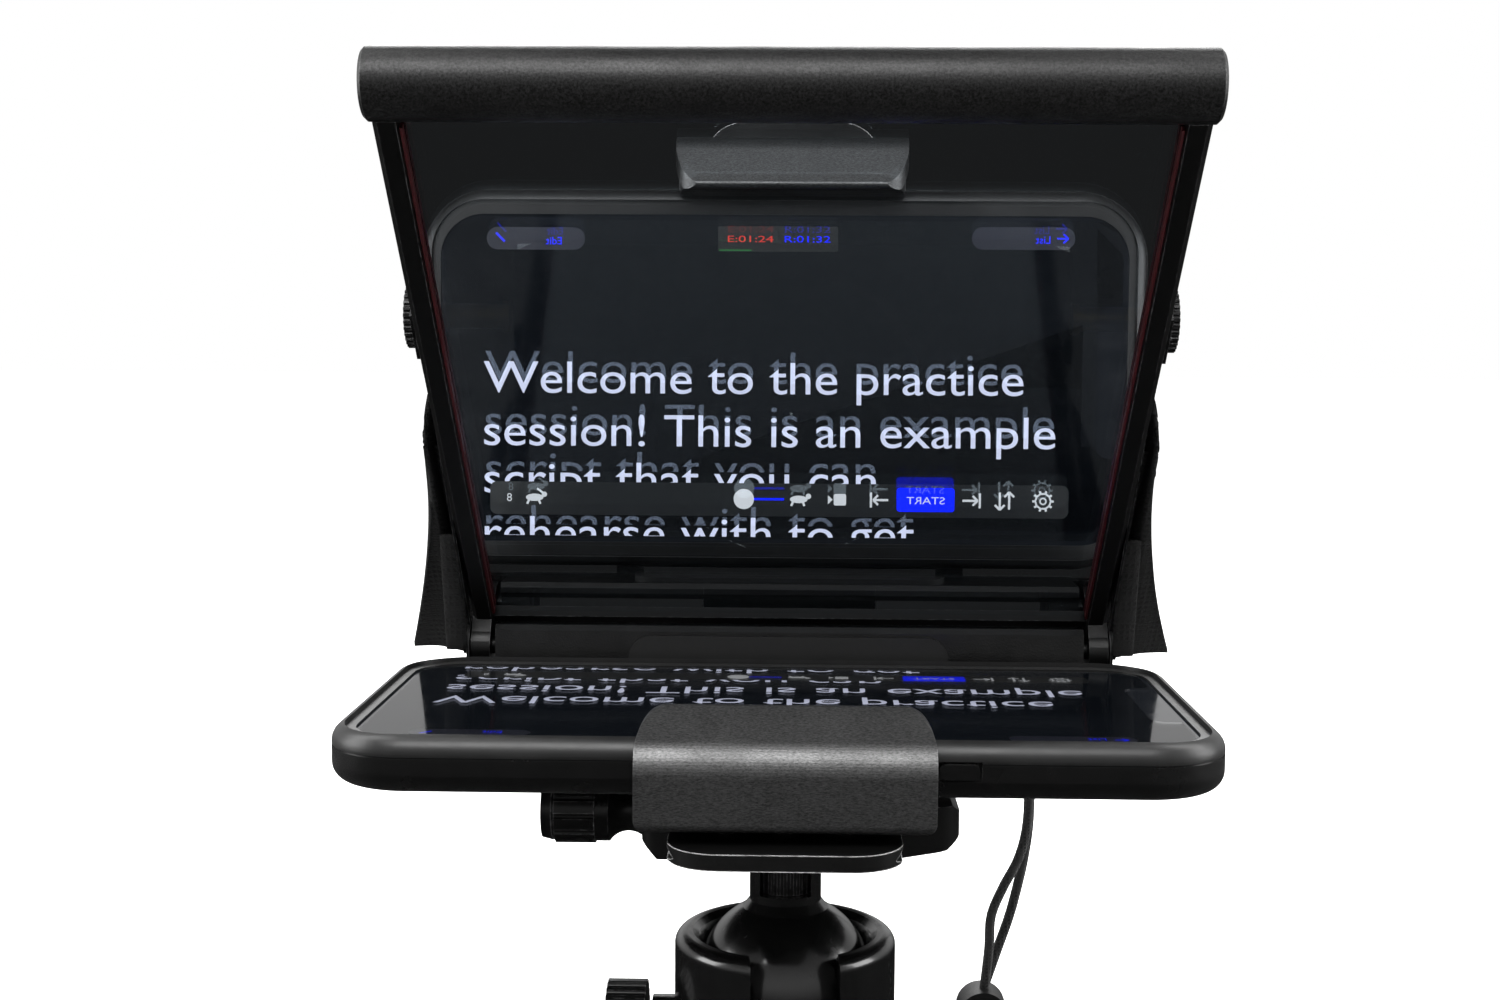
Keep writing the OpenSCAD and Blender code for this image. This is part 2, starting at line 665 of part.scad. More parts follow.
module brass_nut() color([0.55, 0.4, 0.16])
  difference() {
    union() {
      rod_x(53, 54.4, lock_y, lock_z, 3);
      rod_x(54, inner_half, lock_y, lock_z, 2.3);
    }
    rod_x(53.8, 80, lock_y, lock_z, 1.5 + run);
  }
module right_brass_nut() { brass_nut(); }
module left_brass_nut() { mirror([1, 0, 0]) brass_nut(); }

// ---- Hood ----

roof_front = [-36, 211.2];
roof_back = [hood_back, 188];
roof_fall = (roof_front[1] - roof_back[1]) / (roof_back[0] - roof_front[0]);
function roof_z(y) = roof_front[1] - roof_fall * (y - roof_front[0]);
hood_sum = 186;       // y + z along the side panels' front edges
side_top_y = (hood_sum - roof_front[1] - roof_fall * roof_front[0]) / (1 - roof_fall);
flap_top = 142;
strip_from = 175;     // y + z on the fastening strips
strip_to = 195;
flap_to = 198;
hood_z0 = 95.3;
// Band of the YZ plane between two values of y + z, from height z0 to z1
module slope_band(from, to, z0, z1) {
  polygon([[from - z0, z0], [to - z0, z0], [to - z1, z1], [from - z1, z1]]);
}

// Side panel behind the rail, and a flap outside it that fastens to the strips
module hood_side() color([0.03, 0.03, 0.03]) {
  plate_x(hood_in, hood_out) polygon([[hood_sum - hood_z0, hood_z0], [hood_back, hood_z0],
    roof_back, [side_top_y, roof_z(side_top_y)]]);
  plate_x(hood_in, flap_in) slope_band(strip_to + 1, flap_to, hood_z0, flap_top);
  plate_x(flap_in, flap_in + cloth) slope_band(170, flap_to, hood_z0, flap_top);
}
module hood_right_side() { hood_side(); }
module hood_left_side() { mirror([1, 0, 0]) hood_side(); }

module hood_top() color([0.03, 0.03, 0.03])
  across(hood_in) polygon([roof_front, roof_back, roof_back - [0, cloth], roof_front - [0, cloth]]);

module hood_floor() color([0.03, 0.03, 0.03])
  across(hood_in) translate([72, hood_z0]) square([hood_back - 72, cloth]);

module hood_back_panel() color([0.03, 0.03, 0.03])
  difference() {
    translate([-hood_in, hood_back - cloth, hood_z0 + cloth])
      cube([2 * hood_in, cloth, roof_back[1] - 2 * cloth - hood_z0]);
    rod_y(hood_back - 5, hood_back + 5, 0, lens_z, lens_r);
  }

module lens_sleeve() color([0.03, 0.03, 0.03])
  difference() {
    rod_y(hood_back - cloth, hood_back + sleeve_len, 0, lens_z, lens_r);
    rod_y(hood_back - 5, hood_back + sleeve_len + 1, 0, lens_z, lens_r - cloth);
  }

module lens_ring() color([0.03, 0.03, 0.03])
  translate([0, hood_back + sleeve_len + 1.8, lens_z]) rotate([90, 0, 0]) rotate_extrude()
    translate([lens_r - 0.6, 0]) circle(1.8);

module fastening_strips() color([0.04, 0.04, 0.04])
  for (s = [0, 1]) mirror([s, 0, 0]) {
    on_glass() translate([inner_half, rail_depth, 40]) cube([frame_half - inner_half, 1, 76]);
    plate_x(bracket_out + 0.4, flap_in) slope_band(strip_from, strip_to, hood_z0 + 2, flap_top);
  }

module cord_grommets() color([0.12, 0.12, 0.125])
  for (at = [front_route[0], rear_route[0]]) translate([at[0], at[1], 94.1]) rotate_extrude()
    translate([cord_r + 0.05, 0]) square([0.9, 1.2]);

module drawcord_front() color([0.04, 0.04, 0.04]) sweep(front_route, cord_r, 8);
module drawcord_rear() color([0.04, 0.04, 0.04]) sweep(rear_route, cord_r, 8);

module cord_lock_body() color([0.05, 0.05, 0.05])
  difference() {
    union() {
      rod_y(lock_y0, lock_y0 + 9.5, lock_x, 0, lock_r);
      translate([lock_x, lock_y0 + 9.5, 0]) rotate([-90, 0, 0]) cylinder(h = 1.5, r1 = lock_r, r2 = 4.5);
    }
    rod_y(lock_y0 - 1, lock_y0 + 8.5, lock_x, 0, 4.4);
  }
module cord_lock_button() color([0.08, 0.08, 0.08])
  difference() {
    rod_y(lock_y0 - 4, lock_y0 + 1.8, lock_x, 0, 4.2);
    rod_y(lock_y0 - 2.5, lock_y0 + 5, lock_x, 0, 3.4);
  }
module cord_lock_spring() color([0.6, 0.6, 0.62])
  difference() {
    rod_y(lock_y0 - 2.4, lock_y0 + 8.4, lock_x, 0, 3);
    rod_y(lock_y0 - 3, lock_y0 + 9, lock_x, 0, 2.2);
  }

// ---- Phone in its case ----

button_pocket = [26.6, 34.4];
pocket_tall = 3.6;
mark_from = 34.5;
cam_x = phone_x - 54;
cam_y = 26;
module in_case(z) translate([phone_x, (case_y0 + case_y1) / 2, z]) children();

module phone_case() color([0.035, 0.035, 0.037])
  difference() {
    in_case(case_z0) soft_slab(case_len, case_wid, case_thk, case_corner, case_edge);
    in_case(phone_z0) linear_extrude(20) rr(phone_len, phone_wid, case_corner - case_wall);
    in_case(seam_z) linear_extrude(0.4) difference() {
      square([case_len + 10, case_wid + 10], center = true);
      rr(case_len - 0.8, case_wid - 0.8, case_corner - 0.4);
    }
    in_case(case_z1 - rim_drop) linear_extrude(2 * rim_drop)
      rr(phone_len + 3.6, phone_wid + 6.4, case_corner - 3.5);
    translate([button_pocket[0], case_y0 - 1, button_z - pocket_tall / 2])
      cube([button_pocket[1] - button_pocket[0], 3, pocket_tall]);
    translate([mark_from, case_y0 - 1, case_z0]) rotate([0, 30, 0]) cube([0.4, 1.4, 7]);
    translate([cam_x, cam_y, case_z0 - 1]) linear_extrude(5) rr(31, 31, 8);
  }

module phone_body() color([0.08, 0.08, 0.085]) {
  in_case(phone_z0) linear_extrude(phone_top - phone_z0)
    rr(phone_len, phone_wid, case_corner - case_wall);
  translate([cam_x, cam_y, phone_z0 - 1.2]) linear_extrude(1.2) rr(29, 29, 7);
  for (at = [[-7, 7], [-7, -7], [7, 0]])
    translate([cam_x + at[0], cam_y + at[1], phone_z0 - 1.9]) cylinder(h = 0.8, r = 5.4);
}

module phone_screen() color([0.01, 0.01, 0.012])
  in_case(phone_top) linear_extrude(0.6) rr(phone_len, phone_wid, case_corner - case_wall);

module screen_film() color([0.2, 0.2, 0.22, 0.35])
  in_case(phone_top + 0.6) linear_extrude(0.3) difference() {
    rr(phone_len - 2.6, phone_wid - 2.4, 6);
    translate([phone_len / 2 - 1.3, 0]) rr(11, 34, 3);
  }

module volume_button() color([0.045, 0.045, 0.047])
  translate([(button_pocket[0] + button_pocket[1]) / 2, case_y0 + 1.5, button_z])
    rotate([90, 0, 0]) linear_extrude(1.7) rr(button_len, 2.8, 1.2);

// ---- Camera slider ----

slider_y0 = 126;
slider_y1 = 160;
slider_top = 83;
pad_top = 84;
slider_y = (slider_y0 + slider_y1) / 2;
screw_neck_r = 3;
module camera_slider() color([0.05, 0.05, 0.055])
  difference() {
    translate([0, slider_y, rail_z1 + gap]) linear_extrude(slider_top - rail_z1 - gap)
      rr(46, slider_y1 - slider_y0, 4);
    translate([0, slider_y, 70]) cylinder(h = 20, r = screw_neck_r + run);
  }

module slider_pad() color([0.03, 0.03, 0.03])
  translate([0, slider_y, slider_top]) linear_extrude(pad_top - slider_top) difference() {
    rr(42, slider_y1 - slider_y0 - 4, 3);
    circle(stud_r + 0.3);
  }

module camera_screw() color([0.7, 0.7, 0.72]) {
  translate([0, slider_y, 72]) cylinder(h = pad_top + 0.2 - 72, r = screw_neck_r);
  translate([0, slider_y, pad_top + 0.2]) cylinder(h = 5.8, r = stud_r);
  translate([0, slider_y, 71.2]) knurled(8.5, rail_foot - gap - 71.2, 30, 0.5);
}

pan_base();
socket_bushing();
pan_washer();
ball_housing();
retaining_ring();
pan_lock_screw();
ball_lock_knob();
ball_liner();
ball_stem();
neck_wheel();
clamp_base();
clamp_jaw();
clamp_knob();
clamp_guide_pins();
base_rail();
tongue_screws();
rail_stop_screw();
guide_block();
front_jaw();
front_jaw_pad();
guide_rods();
jaw_springs();
hinge_base();
hinge_base_screws();
rear_pad();
left_bracket();
right_bracket();
hinge_pins();
left_rail();
right_rail();
top_bar();
bar_screws();
bottom_bar();
beam_splitter();
left_thumb_screw();
right_thumb_screw();
left_brass_nut();
right_brass_nut();
hood_left_side();
hood_right_side();
hood_top();
hood_floor();
hood_back_panel();
lens_sleeve();
lens_ring();
fastening_strips();
drawcord_front();
drawcord_rear();
cord_lock_body();
cord_lock_button();
cord_lock_spring();
phone_case();
phone_body();
phone_screen();
screen_film();
volume_button();
camera_slider();
slider_pad();
camera_screw();
cord_grommets();
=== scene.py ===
"""Looks of a phone teleprompter: materials, hood cloth, cords, lit screen, light and camera."""
import json
import math
import random

import bmesh
import bpy
from mathutils import Matrix, Vector


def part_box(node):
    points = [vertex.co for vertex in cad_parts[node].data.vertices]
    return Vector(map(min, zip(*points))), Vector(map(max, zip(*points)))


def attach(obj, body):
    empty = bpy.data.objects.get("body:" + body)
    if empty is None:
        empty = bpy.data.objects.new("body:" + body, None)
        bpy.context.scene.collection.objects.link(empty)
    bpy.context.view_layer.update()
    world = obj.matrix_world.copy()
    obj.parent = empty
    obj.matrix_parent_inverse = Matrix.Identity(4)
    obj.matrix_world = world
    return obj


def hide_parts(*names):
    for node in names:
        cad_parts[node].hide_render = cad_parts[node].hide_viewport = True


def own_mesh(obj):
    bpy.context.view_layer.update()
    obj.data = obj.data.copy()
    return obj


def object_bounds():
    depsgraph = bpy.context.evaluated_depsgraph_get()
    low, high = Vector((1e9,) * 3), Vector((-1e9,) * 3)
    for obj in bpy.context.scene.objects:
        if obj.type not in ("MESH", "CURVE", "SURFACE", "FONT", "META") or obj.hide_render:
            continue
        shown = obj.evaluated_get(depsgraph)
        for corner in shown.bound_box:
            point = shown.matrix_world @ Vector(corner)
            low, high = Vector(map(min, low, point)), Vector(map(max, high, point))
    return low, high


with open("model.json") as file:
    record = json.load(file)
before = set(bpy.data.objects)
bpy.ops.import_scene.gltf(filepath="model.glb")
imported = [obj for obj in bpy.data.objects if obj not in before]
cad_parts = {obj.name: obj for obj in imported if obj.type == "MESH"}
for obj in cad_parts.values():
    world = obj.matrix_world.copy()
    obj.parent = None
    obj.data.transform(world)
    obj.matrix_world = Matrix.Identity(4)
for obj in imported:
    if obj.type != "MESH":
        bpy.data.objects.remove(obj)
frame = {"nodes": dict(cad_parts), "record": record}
nodes = frame["nodes"]
cad_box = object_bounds()
MM = 0.001


def box_mm(node):
    """Lowest and highest corner of a CAD object, in millimetres."""
    return [Vector(p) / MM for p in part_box(node)]


# ---------------------------------------------------------------- camera
CAMERA_AT = (1.6, -369.1, 168.0)      # mm
CAMERA_DOWN = 5.215                   # degrees
CAMERA_LEFT = 1.381
CAMERA_ROLL = 0.347
CAMERA_LENS = 46.88

camera = bpy.data.objects.new("camera", bpy.data.cameras.new("camera"))
bpy.context.scene.collection.objects.link(camera)
camera.data.lens = CAMERA_LENS
camera.data.sensor_width = 36
camera.data.clip_start = 0.01
camera.matrix_world = (Matrix.Translation(Vector(CAMERA_AT) * MM)
                       @ Matrix.Rotation(math.radians(CAMERA_LEFT), 4, "Z")
                       @ Matrix.Rotation(math.radians(90 - CAMERA_DOWN), 4, "X")
                       @ Matrix.Rotation(math.radians(CAMERA_ROLL), 4, "Z"))
bpy.context.scene.camera = camera


# ---------------------------------------------------------------- mesh helpers
def link(obj):
    """Puts an object in the scene."""
    bpy.context.scene.collection.objects.link(obj)
    return obj


def mesh_object(name, verts, faces, smooth=True):
    """A mesh from points in millimetres."""
    mesh = bpy.data.meshes.new(name)
    mesh.from_pydata([Vector(v) * MM for v in verts], [], faces)
    mesh.validate()
    bm = bmesh.new()
    bm.from_mesh(mesh)
    bmesh.ops.recalc_face_normals(bm, faces=bm.faces)
    bm.to_mesh(mesh)
    bm.free()
    if smooth:
        mesh.polygons.foreach_set("use_smooth", [True] * len(mesh.polygons))
    return link(bpy.data.objects.new(name, mesh))


def thicken(obj, thick):
    """Gives a sheet its thickness in millimetres, half to either side."""
    solid = obj.modifiers.new("thickness", "SOLIDIFY")
    solid.thickness = thick * MM
    solid.offset = 0
    graph = bpy.context.evaluated_depsgraph_get()
    mesh = bpy.data.meshes.new_from_object(obj.evaluated_get(graph))
    obj.modifiers.clear()
    obj.data = mesh


def dress(obj, material):
    """Gives an object one material."""
    obj.data.materials.clear()
    obj.data.materials.append(material)


def grid_faces(rows, cols, closed=False):
    """Quads of a rows by cols grid of points; closed joins the last column to the first."""
    span = cols if closed else cols - 1
    return [(r * cols + c, r * cols + (c + 1) % cols,
             (r + 1) * cols + (c + 1) % cols, (r + 1) * cols + c)
            for r in range(rows - 1) for c in range(span)]


def smooth_line(points, count):
    """count points along a smooth curve through points."""
    pts = [Vector(p) for p in points]
    ends = [2 * pts[0] - pts[1]] + pts + [2 * pts[-1] - pts[-2]]
    out = []
    last = len(pts) - 1
    for i in range(count):
        t = last * i / (count - 1)
        k = min(int(t), last - 1)
        u = t - k
        a, b, c, d = ends[k:k + 4]
        out.append(0.5 * ((2 * b) + (c - a) * u + (2 * a - 5 * b + 4 * c - d) * u * u
                          + (3 * b - a - 3 * c + d) * u ** 3))
    return out


# ---------------------------------------------------------------- materials
class Nodes:
    """A short way to write a material's nodes."""

    def __init__(self, name):
        self.mat = bpy.data.materials.new(name)
        self.mat.use_nodes = True
        self.tree = self.mat.node_tree
        self.bsdf = self.tree.nodes["Principled BSDF"]
        self.out = self.tree.nodes["Material Output"]
        self.place = self.add("ShaderNodeTexCoord").outputs["Object"]

    def add(self, kind, **settings):
        """Adds a node and sets its properties."""
        node = self.tree.nodes.new(kind)
        for key, value in settings.items():
            setattr(node, key, value)
        return node

    def wire(self, source, target):
        """Joins a socket or a number to an input."""
        if isinstance(source, (int, float)):
            target.default_value = source
        else:
            self.tree.links.new(source, target)

    def math(self, operation, a, b=0.0):
        node = self.add("ShaderNodeMath", operation=operation)
        self.wire(a, node.inputs[0])
        self.wire(b, node.inputs[1])
        return node.outputs[0]

    def stretched(self, scale):
        """The object's own coordinates, scaled along each axis."""
        node = self.add("ShaderNodeMapping")
        self.wire(self.place, node.inputs["Vector"])
        node.inputs["Scale"].default_value = scale
        return node.outputs[0]

    def noise(self, size_mm, detail=3.0, rough=0.55, stretch=(1, 1, 1)):
        """Noise whose features are about size_mm across."""
        node = self.add("ShaderNodeTexNoise")
        self.wire(self.place if stretch == (1, 1, 1) else self.stretched(stretch), node.inputs["Vector"])
        node.inputs["Scale"].default_value = 1 / (size_mm * MM)
        node.inputs["Detail"].default_value = detail
        node.inputs["Roughness"].default_value = rough
        return node.outputs["Fac"]

    def waves(self, period_mm, axis):
        """Even bands across an axis."""
        node = self.add("ShaderNodeTexWave", bands_direction=axis, wave_profile="SIN")
        self.wire(self.place, node.inputs["Vector"])
        node.inputs["Scale"].default_value = 2 * math.pi / (20 * period_mm * MM)
        return node.outputs["Fac"]

    def between(self, fac, low, high, lo_at=0.0, hi_at=1.0):
        """low to high as fac goes from lo_at to hi_at."""
        node = self.add("ShaderNodeMapRange")
        self.wire(fac, node.inputs["Value"])
        for key, value in (("From Min", lo_at), ("From Max", hi_at), ("To Min", low), ("To Max", high)):
            node.inputs[key].default_value = value
        return node.outputs["Result"]

    def blend(self, fac, first, second):
        """first to second, two colours or colour sockets."""
        node = self.add("ShaderNodeMix", data_type="RGBA")
        self.wire(fac, node.inputs[0])
        for socket, value in ((node.inputs[6], first), (node.inputs[7], second)):
            if isinstance(value, tuple):
                socket.default_value = (*value, 1.0)
            else:
                self.tree.links.new(value, socket)
        return node.outputs[2]

    def bump(self, height, depth_mm):
        """A normal that shows height as relief."""
        node = self.add("ShaderNodeBump")
        node.inputs["Distance"].default_value = depth_mm * MM
        node.inputs["Strength"].default_value = 1.0
        self.wire(height, node.inputs["Height"])
        return node.outputs["Normal"]

    def edge(self, radius_mm):
        """Close to 1 on sharp edges and 0 on flats."""
        bevel = self.add("ShaderNodeBevel", samples=4)
        bevel.inputs["Radius"].default_value = radius_mm * MM
        flat = self.add("ShaderNodeNewGeometry").outputs["Normal"]
        dot = self.add("ShaderNodeVectorMath", operation="DOT_PRODUCT")
        self.tree.links.new(bevel.outputs[0], dot.inputs[0])
        self.tree.links.new(flat, dot.inputs[1])
        return self.between(dot.outputs["Value"], 1.0, 0.0, 0.75, 0.99)


def grey(value):
    """A neutral colour."""
    return (value, value, value)


def metal(name, dark, light, metallic, rough, grain_mm=0.16, grain_depth=0.006, wear_and_highlight=0.0,
          wear_and_highlight_colour=(0.35, 0.35, 0.36), stretch=(1, 1, 1), specular=0.5, wear_and_highlight_spread=(0.42, 0.62)):
    """Anodised or blasted metal: fine grain, uneven sheen, and lighter edges, partly wear and partly a
    painted edge highlight.
    """
    n = Nodes(name)
    grain = n.noise(grain_mm, 4, 0.7, stretch)
    cloud = n.noise(14, 4, 0.6)
    speck = n.between(grain, 0.0, 1.0, 0.35, 0.7)
    colour = n.blend(speck, grey(dark), grey(light))
    colour = n.blend(n.between(cloud, 0.0, 0.35, 0.35, 0.75), colour, grey(dark * 0.7))
    # Edges lightened under a noise mask: partly edge wear, partly a painted edge highlight.
    if wear_and_highlight:
        chipped_and_highlit_edge = n.math("MULTIPLY", n.edge(0.35), n.between(n.noise(1.6, 5, 0.7), 0, 1, *wear_and_highlight_spread))
        colour = n.blend(n.math("MULTIPLY", chipped_and_highlit_edge, wear_and_highlight), colour, wear_and_highlight_colour)
    n.wire(colour, n.bsdf.inputs["Base Color"])
    n.bsdf.inputs["Metallic"].default_value = metallic
    n.bsdf.inputs["Specular IOR Level"].default_value = specular
    smudge = n.between(cloud, rough - 0.06, rough + 0.08, 0.3, 0.7)
    n.wire(n.math("ADD", smudge, n.between(grain, -0.04, 0.05)), n.bsdf.inputs["Roughness"])
    n.wire(n.bump(grain, grain_depth), n.bsdf.inputs["Normal"])
    return n.mat


def moulded(name, dark, rough, texture_mm=0.4, depth=0.02, smudge=0.08, specular=0.4, sheen=0.0):
    """Moulded plastic or rubber: fine texture, faint dust and finger marks."""
    n = Nodes(name)
    pebble = n.add("ShaderNodeTexVoronoi")
    n.wire(n.place, pebble.inputs["Vector"])
    pebble.inputs["Scale"].default_value = 1 / (texture_mm * MM)
    fine = n.noise(texture_mm * 0.5, 3, 0.6)
    height = n.math("ADD", pebble.outputs["Distance"], n.math("MULTIPLY", fine, 0.5))
    marks = n.noise(9, 5, 0.65)
    dust = n.between(n.noise(0.5, 2, 0.5), 0.0, 1.0, 0.72, 0.8)
    colour = n.blend(n.between(marks, 0, 1, 0.3, 0.75), grey(dark), grey(dark * 1.7))
    colour = n.blend(n.math("MULTIPLY", dust, 0.2), colour, grey(0.05))
    n.wire(colour, n.bsdf.inputs["Base Color"])
    n.wire(n.between(marks, rough - smudge, rough + smudge, 0.3, 0.7), n.bsdf.inputs["Roughness"])
    n.bsdf.inputs["Specular IOR Level"].default_value = specular
    n.bsdf.inputs["Sheen Weight"].default_value = sheen
    n.wire(n.bump(height, depth), n.bsdf.inputs["Normal"])
    return n.mat


def two_tone(mat, seam_z):
    """Makes a case glossier and darker under its seam."""
    bsdf = mat.node_tree.nodes["Principled BSDF"]
    links = mat.node_tree.links
    place = mat.node_tree.nodes["Texture Coordinate"].outputs["Object"]
    split_at = mat.node_tree.nodes.new("ShaderNodeSeparateXYZ")
    links.new(place, split_at.inputs[0])
    upper = mat.node_tree.nodes.new("ShaderNodeMath")
    upper.operation = "GREATER_THAN"
    links.new(split_at.outputs["Z"], upper.inputs[0])
    upper.inputs[1].default_value = seam_z * MM
    for socket, low in (("Base Color", 0.3), ("Roughness", 0.62)):
        source = bsdf.inputs[socket].links[0].from_socket
        scale = mat.node_tree.nodes.new("ShaderNodeMapRange")
        links.new(upper.outputs[0], scale.inputs["Value"])
        scale.inputs["To Min"].default_value = low
        dim = mat.node_tree.nodes.new("ShaderNodeVectorMath")
        dim.operation = "SCALE"
        links.new(source, dim.inputs[0])
        links.new(scale.outputs["Result"], dim.inputs["Scale"])
        links.new(dim.outputs[0], bsdf.inputs[socket])
    return mat


def woven(name, dark, light, period_mm, depth, fuzz=0.3, sheen=0.25):
    """Plain-woven cloth, its threads along the axes, with slubs and lint."""
    n = Nodes(name)
    threads = n.math("MAXIMUM", n.math("MAXIMUM", n.waves(period_mm, "X"), n.waves(period_mm, "Y")),
                     n.waves(period_mm * 1.07, "Z"))
    slub = n.noise(2.4, 4, 0.7)
    hair = n.noise(0.25, 3, 0.8)
    height = n.math("ADD", threads, n.math("MULTIPLY", hair, fuzz))
    lit_threads = n.math("MULTIPLY", threads, n.between(slub, 0.4, 1.0, 0.3, 0.7))
    colour = n.blend(lit_threads, grey(dark), grey(light))
    lint = n.between(n.noise(0.8, 2, 0.4), 0, 1, 0.74, 0.82)
    colour = n.blend(n.math("MULTIPLY", lint, 0.2), colour, grey(0.07))
    n.wire(colour, n.bsdf.inputs["Base Color"])
    n.wire(n.between(slub, 0.75, 0.95), n.bsdf.inputs["Roughness"])
    n.bsdf.inputs["Sheen Weight"].default_value = sheen
    n.bsdf.inputs["Specular IOR Level"].default_value = 0.2
    n.wire(n.bump(height, depth), n.bsdf.inputs["Normal"])
    return n.mat


def gloss_black():
    """Glossy lacquer with soft wiping marks."""
    n = Nodes("ballhead_gloss")
    marks = n.noise(6, 5, 0.7, (1, 1, 0.25))
    n.wire(n.blend(marks, grey(0.002), grey(0.006)), n.bsdf.inputs["Base Color"])
    n.wire(n.between(marks, 0.13, 0.3, 0.3, 0.7), n.bsdf.inputs["Roughness"])
    n.bsdf.inputs["Coat Weight"].default_value = 0.35
    n.bsdf.inputs["Coat Roughness"].default_value = 0.12
    n.wire(n.bump(n.noise(0.9, 3, 0.5), 0.004), n.bsdf.inputs["Normal"])
    return n.mat


def splitter_glass():
    """Beam splitter: its front face mirrors part of the light and the rest goes through."""
    n = Nodes("beam_splitter_glass")
    n.tree.nodes.remove(n.bsdf)
    clear = n.add("ShaderNodeBsdfTransparent")
    clear.inputs["Color"].default_value = (0.62, 0.66, 0.68, 1)
    mirror = n.add("ShaderNodeBsdfAnisotropic")
    mirror.inputs["Color"].default_value = (0.92, 0.96, 1.0, 1)
    n.wire(n.between(n.noise(30, 4, 0.6), 0.0, 0.012, 0.45, 0.75), mirror.inputs["Roughness"])
    facing = n.add("ShaderNodeVectorMath", operation="DOT_PRODUCT")
    n.wire(n.add("ShaderNodeNewGeometry").outputs["True Normal"], facing.inputs[0])
    facing.inputs[1].default_value = (0, -math.sqrt(0.5), -math.sqrt(0.5))
    coated = n.math("GREATER_THAN", facing.outputs["Value"], 0.7)
    share = n.between(coated, 0.02, 0.62)
    mix = n.add("ShaderNodeMixShader")
    n.wire(share, mix.inputs[0])
    n.wire(clear.outputs[0], mix.inputs[1])
    n.wire(mirror.outputs[0], mix.inputs[2])
    n.wire(mix.outputs[0], n.out.inputs["Surface"])
    return n.mat


def clear_film():
    """Protective film: clear, with its own gloss and faint wiping haze."""
    n = Nodes("film")
    n.tree.nodes.remove(n.bsdf)
    clear = n.add("ShaderNodeBsdfTransparent")
    clear.inputs["Color"].default_value = (0.97, 0.98, 0.98, 1)
    shine = n.add("ShaderNodeBsdfAnisotropic")
    n.wire(n.between(n.noise(7, 5, 0.7, (1, 2.5, 1)), 0.02, 0.12, 0.35, 0.7), shine.inputs["Roughness"])
    fresnel = n.add("ShaderNodeFresnel")
    fresnel.inputs["IOR"].default_value = 1.5
    mix = n.add("ShaderNodeMixShader")
    n.wire(fresnel.outputs[0], mix.inputs[0])
    n.wire(clear.outputs[0], mix.inputs[1])
    n.wire(shine.outputs[0], mix.inputs[2])
    n.wire(mix.outputs[0], n.out.inputs["Surface"])
    return n.mat


def dark_display():
    """The display's cover glass over its dark, faintly lit panel."""
    n = Nodes("screen")
    marks = n.noise(11, 5, 0.7, (1, 2.2, 1))
    n.wire(n.blend(marks, (0.002, 0.0024, 0.003), (0.006, 0.007, 0.009)), n.bsdf.inputs["Base Color"])
    n.wire(n.between(marks, 0.04, 0.16, 0.35, 0.7), n.bsdf.inputs["Roughness"])
    n.bsdf.inputs["Specular IOR Level"].default_value = 0.5
    n.bsdf.inputs["Emission Color"].default_value = (0.55, 0.7, 1.0, 1)
    n.bsdf.inputs["Emission Strength"].default_value = 0.006
    return n.mat


def glow(name, colour, strength, patch=0.12, side_on=0.3):
    """Lit pixels: a light colour with a faint unevenness, dimmer when seen from the side."""
    n = Nodes(name)
    uneven = n.noise(5, 2, 0.5)
    n.wire(n.blend(n.math("MULTIPLY", uneven, patch), colour, tuple(c * 0.6 for c in colour)),
           n.bsdf.inputs["Emission Color"])
    slant = n.add("ShaderNodeFresnel")
    slant.inputs["IOR"].default_value = 1.5
    n.wire(n.between(slant.outputs[0], strength, strength * side_on, 0.05, 0.36),
           n.bsdf.inputs["Emission Strength"])
    n.bsdf.inputs["Base Color"].default_value = (0.01, 0.01, 0.01, 1)
    n.bsdf.inputs["Roughness"].default_value = 0.4
    return n.mat


# ---------------------------------------------------------------- materials of the slots
SEAM_UP = 6.6                         # the case's seam above its underside, mm
FINISH = {
    "black_anodised": metal("black_anodised", 0.0015, 0.006, 0.3, 0.36, 0.14, 0.006, 0.35, specular=0.4),
    "gunmetal_brushed": metal("gunmetal_brushed", 0.045, 0.15, 0.92, 0.4, 0.18, 0.014, 0.35,
                              (0.4, 0.4, 0.42), (0.3, 1.0, 1.0)),
    "bar_satin": metal("bar_satin", 0.004, 0.03, 0.6, 0.38, 0.45, 0.05, 0.4),
    "ballhead_gloss": gloss_black(),
    "knob_black": metal("knob_black", 0.002, 0.007, 0.4, 0.3, 0.12, 0.005, 0.45, specular=0.4),
    "steel": metal("steel", 0.4, 0.62, 1.0, 0.26, 0.2, 0.004, 0.0, stretch=(0.2, 1, 1)),
    "screw_black": metal("screw_black", 0.006, 0.02, 0.8, 0.32, 0.1, 0.004, 0.4),
    "brass": metal("brass_blank", 0.3, 0.4, 1.0, 0.3, 0.3, 0.004),
    "polymer": moulded("polymer", 0.5, 0.5, 0.5, 0.01),
    "black_plastic": moulded("black_plastic", 0.0025, 0.42, 0.42, 0.03),
    "glass": splitter_glass(),
    "hood_fabric": woven("hood_fabric", 0.001, 0.006, 0.62, 0.1, 0.3, 0.05),
    "fastening": woven("fastening", 0.0004, 0.006, 1.2, 0.5, 1.6, 0.04),
    "cord": woven("cord", 0.002, 0.022, 0.8, 0.2, 0.5, 0.15),
    "rubber_pad": moulded("rubber_pad", 0.003, 0.6, 0.3, 0.012),
    "case_rubber": moulded("case_rubber", 0.003, 0.4, 0.16, 0.005, 0.06, 0.45, 0.03),
    "phone_metal": metal("phone_metal", 0.02, 0.04, 0.9, 0.3, 0.1, 0.002),
    "screen": dark_display(),
    "film": clear_film(),
}


